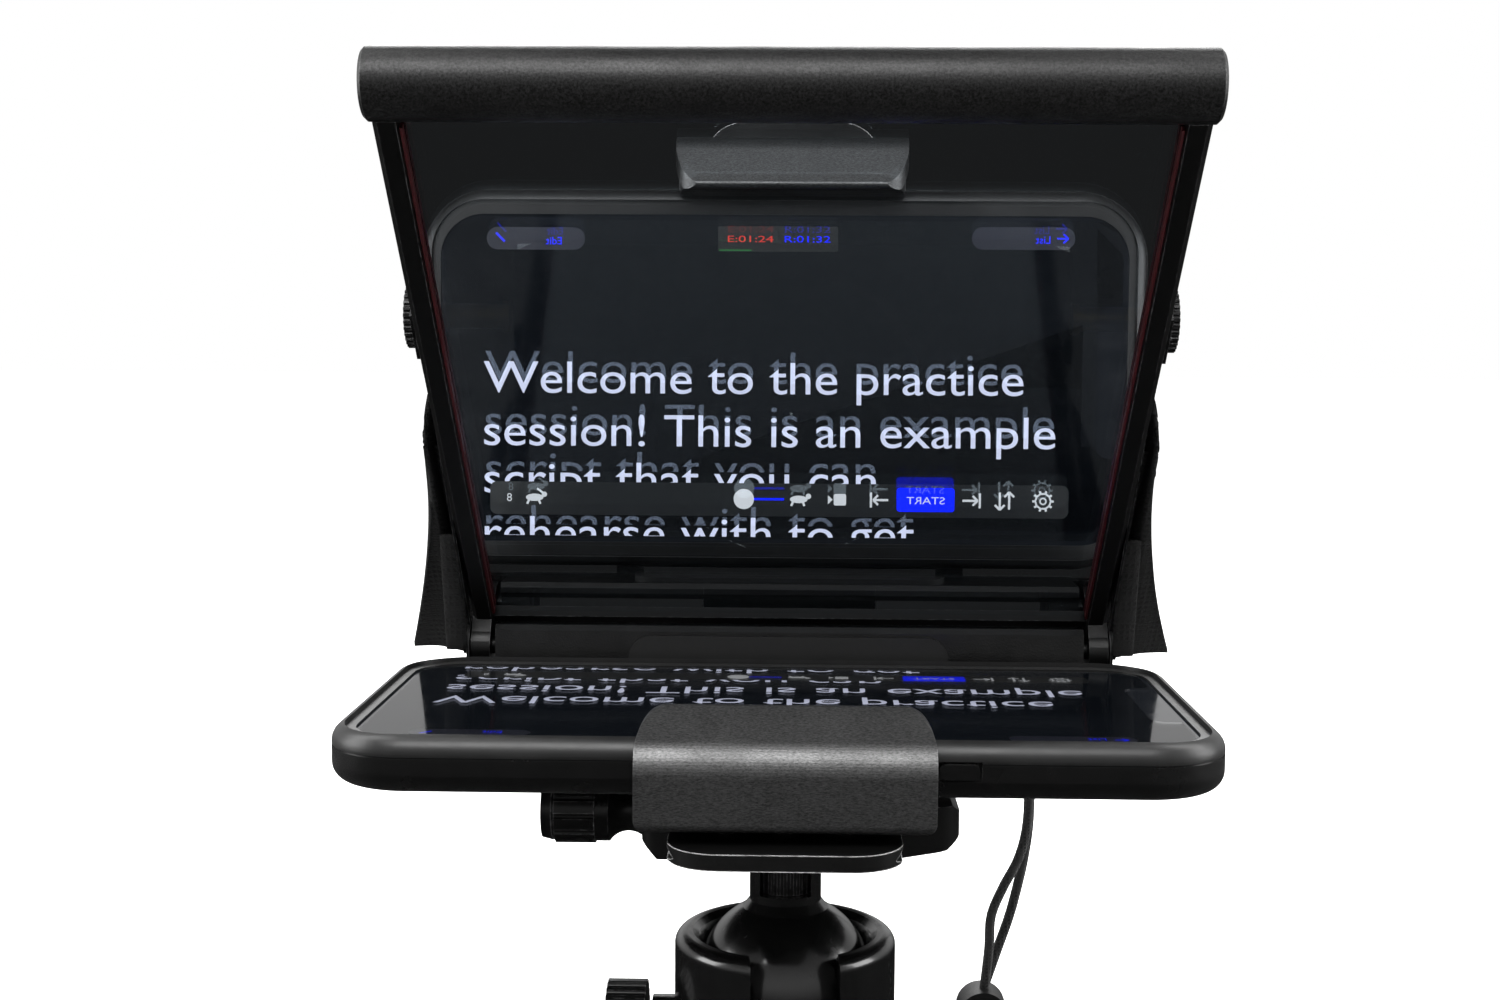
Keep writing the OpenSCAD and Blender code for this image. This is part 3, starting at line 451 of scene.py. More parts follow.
def tint_brass(mat):
    """Turned brass, tarnished in patches."""
    bsdf = mat.node_tree.nodes["Principled BSDF"]
    link_in = bsdf.inputs["Base Color"].links[0]
    mix = mat.node_tree.nodes.new("ShaderNodeMix")
    mix.data_type = "RGBA"
    mix.inputs[6].default_value = (0.16, 0.09, 0.03, 1)
    mix.inputs[7].default_value = (0.62, 0.42, 0.15, 1)
    noise = mat.node_tree.nodes.new("ShaderNodeTexNoise")
    noise.inputs["Scale"].default_value = 260
    mat.node_tree.links.new(noise.outputs["Fac"], mix.inputs[0])
    mat.node_tree.links.remove(link_in)
    mat.node_tree.links.new(mix.outputs[2], bsdf.inputs["Base Color"])


def red_strip():
    """Dark red rubbery strip."""
    n = Nodes("red_strip")
    n.wire(n.blend(n.noise(2.0), (0.03, 0.001, 0.002), (0.075, 0.004, 0.006)), n.bsdf.inputs["Base Color"])
    n.bsdf.inputs["Roughness"].default_value = 0.5
    return n.mat


tint_brass(FINISH["brass"])
two_tone(FINISH["case_rubber"], box_mm("phone_case")[0].z + SEAM_UP)
RED_STRIP = red_strip()
# The rail's edges turn almost white: a painted edge highlight, broken up by the same noise as edge wear.
RAIL_FINISH = metal("rail_edge_wear_and_highlight", 0.0015, 0.006, 0.3, 0.36, 0.14, 0.006, 1.0, (0.9, 0.9, 0.9),
                    specular=0.4, wear_and_highlight_spread=(0.3, 0.5))
SLOT_OF = {p["node"]: p["material_slot"] for p in frame["record"]["subparts"]}
for name, obj in nodes.items():
    obj.data.materials.clear()
    obj.data.materials.append(FINISH[SLOT_OF[name]])
dress(nodes["base_rail"], RAIL_FINISH)
# The steel hinge pins get the black screw finish: painted shade that keeps their ends from glinting.
dress(nodes["hinge_pins"], FINISH["screw_black"])


# ---------------------------------------------------------------- cords
FRONT_ROUTE = [(55.5, 100, 95), (56.5, 100, 84), (58, 99.6, 70), (58.6, 99.2, 57), (58.2, 98.8, 46),
               (56.2, 98.4, 38), (52.6, 98, 31), (49.8, 97.6, 24), (49.4, 97.4, 16), (48.4, 97.2, 6)]
REAR_ROUTE = [(60, 103, 95), (59.6, 103, 84), (59, 102.6, 70), (59.2, 102, 57), (59, 101.8, 46),
              (58, 101.6, 38), (56.6, 101.4, 31), (54.6, 101.2, 23), (51.6, 101, 14), (49, 101, 6)]
CORD_R = 1.2
CORD_POINTS = 36


def drawcord(name, route):
    """One strand of the hood's drawcord, which hangs down to its cord lock."""
    points = [p * MM for p in smooth_line(route, CORD_POINTS)]
    curve = bpy.data.curves.new(name, "CURVE")
    curve.dimensions = "3D"
    curve.bevel_depth = CORD_R * MM
    curve.bevel_resolution = 4
    curve.use_fill_caps = True
    spline = curve.splines.new("POLY")
    spline.points.add(len(points) - 1)
    for target, p in zip(spline.points, points):
        target.co = (*p, 1)
    piece = link(bpy.data.objects.new(name, curve))
    dress(piece, FINISH["cord"])
    node = name.replace("_strand", "")
    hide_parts(node)
    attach(piece, "mirror")
    return piece


drawcord("drawcord_front_strand", FRONT_ROUTE)
drawcord("drawcord_rear_strand", REAR_ROUTE)


# ---------------------------------------------------------------- hood cloth
HOOD_LO, HOOD_HI = box_mm("hood_right_side")
TOP_LO, TOP_HI = box_mm("hood_top")
PANEL_X = TOP_HI.x + 0.55             # middle of the side panels' cloth
FLAP_X = HOOD_HI.x - 0.5              # middle of the outer flap's cloth
FLOOR_Z = HOOD_LO.z
BACK_Y = HOOD_HI.y
ROOF_BACK_Z = box_mm("hood_back_panel")[1].z + 1.2
ROOF_FRONT_Z = TOP_HI.z
FRONT_SUM = 186                       # y + z along the side panels' front edges
FLAP_SUMS = (170, 198)                # y + z along a flap's front hem and its rear edge
FLAP_TOP = 142                        # from here down the flaps hang free
CLOTH = 0.9                           # thickness of the hood's cloth
HALF_CAD_CLOTH = 0.6                  # half the thickness of the CAD hood's panels
HOOD_BODY = "mirror"
SLOPE = math.sqrt(0.5)                # sine and cosine of the side rails' lean
RAIL_IN = 65.7                        # inner side of the side rails
RAIL_FOOT = (60.5, 103.6)             # y and z where the rails' front edges start
STRIP_SPAN = (1.0, 138.0)             # the red strips' ends along the rails
STRIP_THICK = 0.5
STRIP_EDGES = (-0.25, -1.6)           # how far the strips' edges lie in front of the rails' edges


def ripple(seed, u, v, amp, folds=5.0):
    """Soft creases: a few slanted waves of unlike wavelengths."""
    local = random.Random(seed)
    total = 0.0
    for k in range(5):
        angle = local.uniform(-1.2, 1.2)
        freq = folds * local.uniform(0.5, 1.8)
        phase = local.uniform(0, 6.28)
        wave = math.sin(6.28 * freq * (u * math.cos(angle) + v * math.sin(angle)) * 0.5 + phase)
        total += wave * abs(wave) / (k + 1.3)
    return amp * total


def hood_piece(piece, slot="hood_fabric", replaced=None):
    """Dresses a piece that turns with the hood, and hides the CAD node it replaces, if any."""
    dress(piece, FINISH[slot])
    if replaced:
        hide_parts(replaced)
    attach(piece, HOOD_BODY)
    return piece


def cloth_patch(name, place, cols, rows, replaced, area, slot="hood_fabric", thick=CLOTH):
    """A sheet of cloth whose points place(u, v) gives in millimetres."""
    verts = [place(c / (cols - 1), r / (rows - 1)) for r in range(rows) for c in range(cols)]
    piece = mesh_object(name, verts, grid_faces(rows, cols))
    thicken(piece, thick)
    piece.data.polygons.foreach_set("use_smooth", [True] * len(piece.data.polygons))
    hood_piece(piece, slot, replaced)
    return piece


def quad(a, b, c, d, u, v):
    """Point of the patch with corners a, b along u and d, c above them."""
    return (Vector(a).lerp(Vector(b), u)).lerp(Vector(d).lerp(Vector(c), u), v)


def patch_area(place, steps=24):
    """Area in square metres of a smooth patch."""
    total = 0.0
    for i in range(steps):
        for j in range(steps):
            p = place(i / steps, j / steps)
            total += ((place((i + 1) / steps, j / steps) - p).cross(
                place(i / steps, (j + 1) / steps) - p)).length
    return total * MM * MM


def side_top_y():
    """Where a side panel's front edge meets the roof, and how fast the roof falls towards the back."""
    fall = (ROOF_FRONT_Z - ROOF_BACK_Z) / (BACK_Y - TOP_LO.y)
    return (FRONT_SUM - ROOF_FRONT_Z - fall * TOP_LO.y) / (1 - fall), fall


SIDE_Y, ROOF_FALL = side_top_y()
SIDE_TOP_Z = FRONT_SUM - SIDE_Y


def side_panel(side, sign):
    """Big side panel of the hood, slack between the frame and the back."""
    a, b = (0, FRONT_SUM - FLOOR_Z, FLOOR_Z), (0, BACK_Y, FLOOR_Z)
    c, d = (0, BACK_Y, ROOF_BACK_Z), (0, SIDE_Y, SIDE_TOP_Z)

    def place(u, v, crease=True):
        p = quad(a, b, c, d, u, v)
        hold = math.sin(math.pi * u) * math.sin(math.pi * v)
        sag = 1.6 * hold
        x = PANEL_X + (sag + ripple(11 + sign, u, v, 0.7, 4) * hold if crease else 0)
        p.x = sign * x
        return p

    area = patch_area(place)
    return cloth_patch(f"hood_{side}_cloth", place, 60, 44, f"hood_{side}_side",
                       area)


def line_length(place, across, at, steps=40):
    """Length in millimetres of a patch's line at u or v = at."""
    pts = [place(k / steps, at) if across else place(at, k / steps) for k in range(steps + 1)]
    return sum((b - a).length for a, b in zip(pts, pts[1:]))


def flap(side, sign):
    """Flap outside the side panel, whose front hem turns out and flares towards its loose end."""
    front, back = FLAP_SUMS
    turn = 0.3
    low_front, low_inner = FLOOR_Z - 2.0, FLOOR_Z - 4.2
    taper = 11.0
    top = FLAP_TOP + taper

    def place(u, v):
        low = low_front + (low_inner - low_front) * math.exp(-((u - turn) / 0.09) ** 2)
        z = top + (low - top) * v
        deep = max(0.0, (u - turn * 0.7) / (1 - turn * 0.7))
        p = Vector((0, front + (back - front) * deep - z, z))
        down = min(1.0, max(0.0, FLAP_TOP - z) / (FLAP_TOP - low_front))
        drawn_in = 3.0 * max(0.0, 1 - (top - z) / taper) ** 1.4
        out = max(0.0, 1 - u / turn)
        flare = 11.6 * down ** 1.5 * (out + 0.12 * (1 - out) * (1 - u))
        wave = (0.9 * math.sin(16 * u + 2 * v) + ripple(31 + sign, u, v, 0.4, 3)) * down * (1 - u)
        p.y += 0.8 * math.sin(20 * u + sign) * down * out
        p.x = sign * (FLAP_X - drawn_in + flare + wave * (0.35 + 0.65 * out))
        return p

    wide = max(line_length(place, True, k / 8) for k in range(9))
    tall = max(line_length(place, False, k / 8) for k in range(9))
    return cloth_patch(f"hood_{side}_flap", place, 44, 56, None,
                       min(patch_area(place), wide * tall * MM * MM), "fastening", 1.3)


def roof():
    """Roof of the hood, slack between its side seams."""
    front_y = TOP_LO.y

    def place(u, v):
        y = front_y + (BACK_Y - front_y) * v
        z = ROOF_FRONT_Z - HALF_CAD_CLOTH - ROOF_FALL * (y - front_y)
        hold = math.sin(math.pi * u) * min(1, 6 * v) * min(1, 6 * (1 - v))
        return Vector(((2 * u - 1) * PANEL_X, y, z - 1.8 * hold + ripple(51, u, v, 0.8, 5) * hold))

    return cloth_patch("hood_top_cloth", place, 48, 52, "hood_top",
                       patch_area(place))


def floor_cloth():
    """Narrow floor of the hood, between the rails' feet and the back."""
    lo, hi = box_mm("hood_floor")

    def place(u, v):
        hold = math.sin(math.pi * u) * math.sin(math.pi * v)
        return Vector(((2 * u - 1) * PANEL_X, lo.y + (hi.y - lo.y + 1) * v,
                       (lo.z + hi.z) / 2 - 0.5 * hold + ripple(71, u, v, 0.35, 4) * hold))

    size = (2 * PANEL_X * MM, (hi.y - lo.y + 1) * MM)
    return cloth_patch("hood_floor_cloth", place, 44, 18, "hood_floor",
                       min(patch_area(place), size[0] * size[1]))


SLEEVE_LO, SLEEVE_HI = box_mm("lens_sleeve")
RING_LO, RING_HI = box_mm("lens_ring")
LENS_Z = (SLEEVE_LO.z + SLEEVE_HI.z) / 2
SLEEVE_R = SLEEVE_HI.x - HALF_CAD_CLOTH
RING_R = RING_HI.x - 1.8
RING_Y = (RING_LO.y + RING_HI.y) / 2


def back_cloth():
    """Back panel: cloth between the round lens seam and the square outline."""
    count, rings = 96, 16
    half, low, high = PANEL_X, FLOOR_Z + HALF_CAD_CLOTH, ROOF_BACK_Z - HALF_CAD_CLOTH
    verts = []
    for r in range(rings):
        t = r / (rings - 1)
        for k in range(count):
            angle = 2 * math.pi * k / count
            dx, dz = math.cos(angle), math.sin(angle)
            reach = min(half / max(abs(dx), 1e-6),
                        ((high - LENS_Z) if dz > 0 else (LENS_Z - low)) / max(abs(dz), 1e-6))
            radius = (SLEEVE_R - 0.2) * (1 - t) + reach * t
            pucker = 0.7 * math.sin(angle * 24) * (1 - t) ** 3
            pucker += ripple(91, dx, dz, 0.5, 2) * math.sin(math.pi * t)
            verts.append((dx * radius, BACK_Y - HALF_CAD_CLOTH + pucker * 0.8, LENS_Z + dz * radius))
    piece = mesh_object("hood_back_cloth", verts, grid_faces(rings, count, True))
    thicken(piece, CLOTH)
    hood_piece(piece, replaced="hood_back_panel")
    return piece


def sleeve():
    """Gathered sleeve that draws in towards its elastic ring."""
    count, rows = 240, 22
    start = BACK_Y - 0.5
    verts = []
    for r in range(rows):
        t = r / (rows - 1)
        for k in range(count):
            angle = 2 * math.pi * k / count
            gather = 0.25 + 0.75 * t
            fold = math.sin(angle * 30 + 1.1 * math.sin(angle * 5)) * gather * 0.55
            radius = SLEEVE_R - 0.4 + fold + 0.25 * math.sin(angle * 7 + 5 * t) - 0.3 * t
            verts.append((math.cos(angle) * radius, start + (RING_Y - start) * t,
                          LENS_Z + math.sin(angle) * radius))
    piece = mesh_object("lens_sleeve_cloth", verts, grid_faces(rows, count, True))
    thicken(piece, 0.6)
    hood_piece(piece, replaced="lens_sleeve")
    return piece


def elastic_ring():
    """Fabric casing gathered over the elastic at the sleeve's mouth."""
    count, ring = 360, 14
    verts = []
    for k in range(count):
        angle = 2 * math.pi * k / count
        tube = 1.45 + 0.25 * math.sin(angle * 60 + 2 * math.sin(angle * 3))
        for j in range(ring):
            b = 2 * math.pi * j / ring
            radius = RING_R + tube * math.cos(b)
            verts.append((math.cos(angle) * radius, RING_Y + tube * math.sin(b),
                          LENS_Z + math.sin(angle) * radius))
    faces = [(k * ring + j, k * ring + (j + 1) % ring,
              ((k + 1) % count) * ring + (j + 1) % ring, ((k + 1) % count) * ring + j)
             for k in range(count) for j in range(ring)]
    piece = mesh_object("lens_ring_casing", verts, faces)
    hood_piece(piece, replaced="lens_ring")
    return piece


def tape(name, points, wide, thick, flat_along):
    """Binding tape or webbing laid along a line, its width along flat_along."""
    pts = [Vector(p) for p in points]
    across = Vector(flat_along).normalized()
    verts = []
    section = [(math.cos(a) * wide / 2, math.sin(a) * thick / 2)
               for a in (2 * math.pi * k / 16 for k in range(16))]
    section = [(math.copysign(abs(x / (wide / 2)) ** 0.5 * wide / 2, x), y) for x, y in section]
    for i, p in enumerate(pts):
        along = (pts[min(i + 1, len(pts) - 1)] - pts[max(i - 1, 0)]).normalized()
        out = along.cross(across).normalized()
        verts += [p + across * x + out * y for x, y in section]
    faces = grid_faces(len(pts), 16, True)
    faces += [tuple(range(15, -1, -1)), tuple(range((len(pts) - 1) * 16, len(pts) * 16))]
    piece = mesh_object(name, verts, faces)
    return hood_piece(piece, "fastening")


def stitches(name, points, normal, pitch=2.6, length=1.8, thick=0.32):
    """A row of stitches: short raised threads along a line."""
    pts = [Vector(p) for p in points]
    up = Vector(normal).normalized()
    verts, faces = [], []
    for a, b in zip(pts, pts[1:]):
        along = (b - a).normalized()
        side = along.cross(up).normalized()
        for k in range(int((b - a).length / pitch)):
            at = a + along * (k + 0.5) * pitch
            base = len(verts)
            for t, r in ((-0.5, 0.25), (-0.2, 1.0), (0.2, 1.0), (0.5, 0.25)):
                centre = at + along * t * length + up * (0.12 * r)
                for j in range(6):
                    angle = 2 * math.pi * j / 6
                    verts.append(centre + (side * math.cos(angle) + up * math.sin(angle)) * thick / 2 * r)
            faces += [tuple(base + q for q in f) for f in grid_faces(4, 6, True)]
            faces += [tuple(base + j for j in range(5, -1, -1)), tuple(base + 18 + j for j in range(6))]
    piece = mesh_object(name, verts, faces)
    return hood_piece(piece, "cord")


def rail_strip(side, sign):
    """Thin dark red strip along the inner edge of a side rail, in front of the glass."""
    inner = RAIL_IN - STRIP_THICK
    near, far = STRIP_EDGES
    verts = []
    for v in STRIP_SPAN:
        end = Vector((0, RAIL_FOOT[0] - v * SLOPE, RAIL_FOOT[1] + v * SLOPE))
        for x, w in ((inner, near), (RAIL_IN, near), (RAIL_IN, far), (inner, far)):
            verts.append(end + Vector((sign * x, w * SLOPE, w * SLOPE)))
    faces = [(0, 1, 2, 3), (7, 6, 5, 4), (0, 4, 5, 1), (1, 5, 6, 2), (2, 6, 7, 3), (3, 7, 4, 0)]
    piece = mesh_object(f"{side}_rail_strip", verts, faces, False)
    dress(piece, RED_STRIP)
    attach(piece, HOOD_BODY)
    return piece


def line(a, b, count=12):
    """count points along a straight line."""
    return [Vector(a).lerp(Vector(b), i / (count - 1)) for i in range(count)]


roof()
floor_cloth()
back_cloth()
sleeve()
elastic_ring()
for side, sign in (("left", -1), ("right", 1)):
    rail_strip(side, sign)
    side_panel(side, sign)
    flap(side, sign)
    x = sign * PANEL_X
    corner_top = (x, BACK_Y - HALF_CAD_CLOTH, ROOF_BACK_Z - HALF_CAD_CLOTH)
    corner_low = (x, BACK_Y - HALF_CAD_CLOTH, FLOOR_Z + HALF_CAD_CLOTH)
    roof_edge = line((x, SIDE_Y, SIDE_TOP_Z - 0.5), corner_top, 24)
    tape(f"roof_piping_{side}", roof_edge, 2.2, 1.9, (1, 0, 0))
    tape(f"back_piping_{side}", line(corner_low, corner_top), 2.2, 1.9, (1, 0, 0))
    front_edge = line((x, FRONT_SUM - FLOOR_Z + 3, FLOOR_Z), (x, SIDE_Y + 3, SIDE_TOP_Z - 1.5), 16)
    tape(f"front_binding_{side}", front_edge, 6, 1.7, (0, 0.7, 0.7))
    tab = [(sign * tab_x, y, z) for tab_x, y, z in ((72.6, 45.5, 122), (72.9, 51, 108), (72.7, 53.1, 96.2))]
    tape(f"flap_tab_{side}", smooth_line(tab, 14), 4.6, 1.5, (1, 0, 0))
    outer = x + sign * 0.5
    seam = [(outer, FRONT_SUM - FLOOR_Z + 14, FLOOR_Z + 6), (outer, BACK_Y - 6, FLOOR_Z + 6),
            (outer, BACK_Y - 6, ROOF_BACK_Z - 7), (outer, SIDE_Y + 12, SIDE_TOP_Z - 8)]
    stitches(f"side_stitches_{side}", seam, (sign, 0, 0))


def lens_curtain():
    """Four overlapping petals of stretch cloth that close the sleeve while no lens is in it."""
    petals, rings, spokes = 4, 12, 16
    depth = BACK_Y + 4
    verts, faces = [], []
    for k in range(petals):
        base = len(verts)
        for r in range(rings):
            t = r / (rings - 1)
            for s in range(spokes):
                a = (s / (spokes - 1) - 0.5) * (math.pi / 2 + 0.5 * (1 - t)) + k * math.pi / 2 + 0.4
                radius = 0.4 + (SLEEVE_R - 0.9) * t
                sag = 2.2 * (1 - t) ** 2 * (0.5 + 0.5 * math.sin(k * 1.7))
                fold = 0.5 * math.sin(a * 9) * (1 - t) * t
                lap = 0.7 * (s / (spokes - 1) - 0.5)
                verts.append((math.cos(a) * radius, depth + sag + fold + lap, LENS_Z + math.sin(a) * radius))
        faces += [tuple(base + q for q in f) for f in grid_faces(rings, spokes)]
    piece = mesh_object("lens_curtain", verts, faces)
    thicken(piece, 0.4)
    hood_piece(piece)


lens_curtain()


# ---------------------------------------------------------------- springs
def helix(name, centre, radius, wire, low, high, turns, body, replaced):
    """A coil spring along Y; centre is its (x, z)."""
    count, ring = int(turns * 24), 8
    verts = []
    for i in range(count + 1):
        t = i / count
        a = 2 * math.pi * turns * t
        out = Vector((math.cos(a), 0, math.sin(a)))
        at = Vector((centre[0], low + wire + (high - low - 2 * wire) * t, centre[1])) + out * (radius - wire)
        for j in range(ring):
            b = 2 * math.pi * j / ring
            verts.append(at + out * math.cos(b) * wire + Vector((0, math.sin(b) * wire, 0)))
    faces = grid_faces(count + 1, ring, True)
    faces += [tuple(range(ring - 1, -1, -1)), tuple(range(count * ring, (count + 1) * ring))]
    piece = mesh_object(name, verts, faces)
    dress(piece, FINISH["steel"])
    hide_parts(replaced)
    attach(piece, body)
    return piece


jaw_lo, jaw_hi = box_mm("jaw_springs")
spring_r = (jaw_hi.z - jaw_lo.z) / 2
for side, sign in (("left", -1), ("right", 1)):
    spring = helix(f"jaw_spring_{side}", (sign * (jaw_hi.x - spring_r), (jaw_lo.z + jaw_hi.z) / 2),
                   spring_r, 0.32, jaw_lo.y, jaw_hi.y, 22, "rail", "jaw_springs")
    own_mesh(spring)

lock_lo, lock_hi = box_mm("cord_lock_spring")
lock_r = (lock_hi.z - lock_lo.z) / 2
spring = helix("cord_lock_coil", ((lock_lo.x + lock_hi.x) / 2, (lock_lo.z + lock_hi.z) / 2), lock_r, 0.35,
               lock_lo.y, lock_hi.y, 5, "mirror", "cord_lock_spring")
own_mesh(spring)


# ---------------------------------------------------------------- what the phone shows
# The lit script lies lowest, the bars over it and the signs on them.
TEXT_Z = box_mm("phone_screen")[1].z + 0.004
BAR_Z = TEXT_Z + 0.008
SIGN_Z = TEXT_Z + 0.016
SHEET = 0.004                         # thickness of each lit layer
SCRIPT_LEFT = -69.2
CAP_HEIGHT = 7.5
CAP_SHARE = 0.729                     # height of a capital over the size of the built-in font
SCRIPT = [("Welcome to the practice", 12.3), ("session! This is an example", 24.2),
          ("script that you can", 35.0), ("rehearse with to get", 47.3)]
SCRIPT_WIDE = 128.7                   # width of the second line
SHOWN_TO = 44.6                       # y where the lit part of the display ends

LIT = {
    "script": glow("lit_script", (0.76, 0.79, 1.0), 1.6, 0.5, 0.5),
    "sign": glow("lit_sign", (0.8, 0.82, 0.85), 1.3),
    "blue": glow("lit_blue", (0.0, 0.01, 1.0), 2.4),
    "red": glow("lit_red", (1.0, 0.05, 0.03), 1.1),
    "green": glow("lit_green", (0.03, 0.6, 0.1), 0.5),
    "bar": glow("lit_bar", (0.5, 0.55, 0.6), 0.03),
    "pill": glow("lit_pill", (0.35, 0.4, 0.9), 0.035),
}


def lit(piece, material):
    """Makes a piece part of what the phone shows."""
    dress(piece, LIT[material])
    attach(piece, "phone")
    return piece


def prism(name, outlines, z, material):
    """Flat lit shapes from outlines, each a list of (x, y)."""
    verts, faces = [], []
    for outline in outlines:
        base, n = len(verts), len(outline)
        verts += [(x, y, z) for x, y in outline] + [(x, y, z + SHEET) for x, y in outline]
        faces += [tuple(base + i for i in range(n)), tuple(base + n + i for i in range(n - 1, -1, -1))]
        faces += [(base + i, base + n + i, base + n + (i + 1) % n, base + (i + 1) % n) for i in range(n)]
    return lit(mesh_object(name, verts, faces, False), material)


def rounded(x0, y0, x1, y1, r, steps=6):
    """Outline of a rectangle with round corners."""
    out = []
    corners = ((x1 - r, y1 - r, 0), (x0 + r, y1 - r, 90), (x0 + r, y0 + r, 180), (x1 - r, y0 + r, 270))
    for cx, cy, start in corners:
        for k in range(steps + 1):
            a = math.radians(start + 90 * k / steps)
            out.append((cx + r * math.cos(a), cy + r * math.sin(a)))
    return out


def disc(x, y, r, steps=28):
    """Outline of a disc."""
    return [(x + r * math.cos(2 * math.pi * k / steps), y + r * math.sin(2 * math.pi * k / steps))
            for k in range(steps)]


def stroke(a, b, wide):
    """Outline of a straight stroke from a to b."""
    ax, ay, bx, by = *a, *b
    long = math.hypot(bx - ax, by - ay)
    nx, ny = (ay - by) / long * wide / 2, (bx - ax) / long * wide / 2
    return [(ax + nx, ay + ny), (ax - nx, ay - ny), (bx - nx, by - ny), (bx + nx, by + ny)]


def lettering(name, text, x, y, cap, material, z, mirrored=False, wide=None, spread=1.0, clip=None):
    """Flat lit lettering, which reads rightly in the glass, or, mirrored, on the phone itself.

    The result is how far one unit of the font reaches across, in millimetres.
    """
    curve = bpy.data.curves.new(name, "FONT")
    curve.body = text
    curve.extrude = 0.5
    curve.resolution_u = 5
    made = link(bpy.data.objects.new(name, curve))
    graph = bpy.context.evaluated_depsgraph_get()
    mesh = bpy.data.meshes.new_from_object(made.evaluated_get(graph))
    bpy.data.objects.remove(made)
    bpy.data.curves.remove(curve)
    lo = Vector(min(v.co[i] for v in mesh.vertices) for i in range(3))
    hi = Vector(max(v.co[i] for v in mesh.vertices) for i in range(3))
    tall = cap / CAP_SHARE
    across = wide / (hi.x - lo.x) if wide else tall * spread
    turn = -1 if mirrored else 1
    for v in mesh.vertices:
        v.co = Vector((x + turn * (v.co.x - lo.x) * across, y - v.co.y * tall,
                       z + (v.co.z + 0.5) * SHEET)) * MM
    bm = bmesh.new()
    bm.from_mesh(mesh)
    bmesh.ops.remove_doubles(bm, verts=bm.verts, dist=1e-7)
    if clip is not None:
        bmesh.ops.bisect_plane(bm, geom=bm.verts[:] + bm.edges[:] + bm.faces[:], dist=1e-7,
                               plane_co=Vector((0, clip, 0)) * MM, plane_no=(0, 1, 0), clear_outer=True)
        bmesh.ops.holes_fill(bm, edges=[e for e in bm.edges if e.is_boundary])
    bmesh.ops.recalc_face_normals(bm, faces=bm.faces)
    bm.to_mesh(mesh)
    bm.free()
    lit(link(bpy.data.objects.new(name, mesh)), material)
    return across


pitch = lettering("script_line_2", SCRIPT[1][0], SCRIPT_LEFT, SCRIPT[1][1], CAP_HEIGHT, "script", TEXT_Z,
                  wide=SCRIPT_WIDE)
for k in (0, 2, 3):
    lettering(f"script_line_{k + 1}", SCRIPT[k][0], SCRIPT_LEFT, SCRIPT[k][1], CAP_HEIGHT, "script",
              TEXT_Z, spread=pitch * CAP_SHARE / CAP_HEIGHT, clip=SHOWN_TO if k == 3 else None)

# Labels along the top: two buttons, and the time gone and left.
prism("label_plates", [rounded(-68.3, -24.7, -46.3, -19.7, 2.4), rounded(40.1, -25.2, 63.0, -20.2, 2.4)],
      BAR_Z, "pill")
lettering("label_edit", "Edit", -51.5, -20.9, 1.75, "blue", SIGN_Z, mirrored=True)
prism("label_edit_sign", [stroke((-66.2, -23.4), (-64.3, -21.5), 0.45)], SIGN_Z, "blue")
lettering("label_list", "List", 57.5, -21.6, 1.75, "blue", SIGN_Z, mirrored=True)
prism("label_list_sign", [stroke((59.0, -22.7), (61.4, -22.7), 0.35),
                          stroke((61.5, -22.7), (60.4, -23.7), 0.35),
                          stroke((61.5, -22.7), (60.4, -21.7), 0.35)], SIGN_Z, "blue")
prism("timer_plate", [rounded(-16.5, -25.1, 10.3, -19.5, 0.5)], BAR_Z, "bar")
lettering("timer_gone", "E:01:24", -14.3, -21.6, 1.5, "red", SIGN_Z, wide=10.2)
lettering("timer_left", "R:01:32", -1.6, -21.6, 1.5, "blue", SIGN_Z, wide=10.2)
prism("timer_line", [stroke((-16.2, -19.8), (-9, -19.8), 0.25)], SIGN_Z, "green")

# The control bar.
BAR_MID = 36.0
prism("control_bar", [rounded(-67.9, 32.4, 62.7, 39.9, 1.6)], BAR_Z, "bar")
lettering("speed_number", "8", -64.1, BAR_MID + 0.9, 1.9, "sign", SIGN_Z)
prism("slider_track", [stroke((-54.8, BAR_MID), (-12, BAR_MID), 0.35)], SIGN_Z, "bar")
prism("slider_rest", [stroke((-9, BAR_MID), (-1.3, BAR_MID), 0.5)], SIGN_Z, "blue")
prism("slider_knob", [disc(-10.4, BAR_MID, 2.3)], SIGN_Z + 0.006, "sign")


def arrow(x, y, dx, dy, head=1.1, wide=0.5):
    """Strokes of an arrow from (x, y), pointing along (dx, dy)."""
    tip = (x + dx, y + dy)
    long = math.hypot(dx, dy)
    ux, uy = dx / long, dy / long
    out = [stroke((x, y), tip, wide)]
    for s in (-1, 1):
        out.append(stroke(tip, (tip[0] - head * (ux - s * uy), tip[1] - head * (uy + s * ux)), wide))
    return out


def runner(x, y, ears):
    """Sign for slow or fast: a long body on short legs."""
    out = [[(x + 2.0 * math.cos(a), y + 0.85 * math.sin(a)) for a in (math.tau * k / 20 for k in range(20))],
           disc(x + 2.2, y - 0.7, 0.62, 14), stroke((x - 1.2, y + 0.4), (x - 1.7, y + 1.5), 0.5),
           stroke((x + 0.9, y + 0.4), (x + 1.3, y + 1.5), 0.5)]
    if ears:
        out += [stroke((x + 2.0, y - 1.0), (x + 0.6, y - 2.0), 0.45)]
    return out


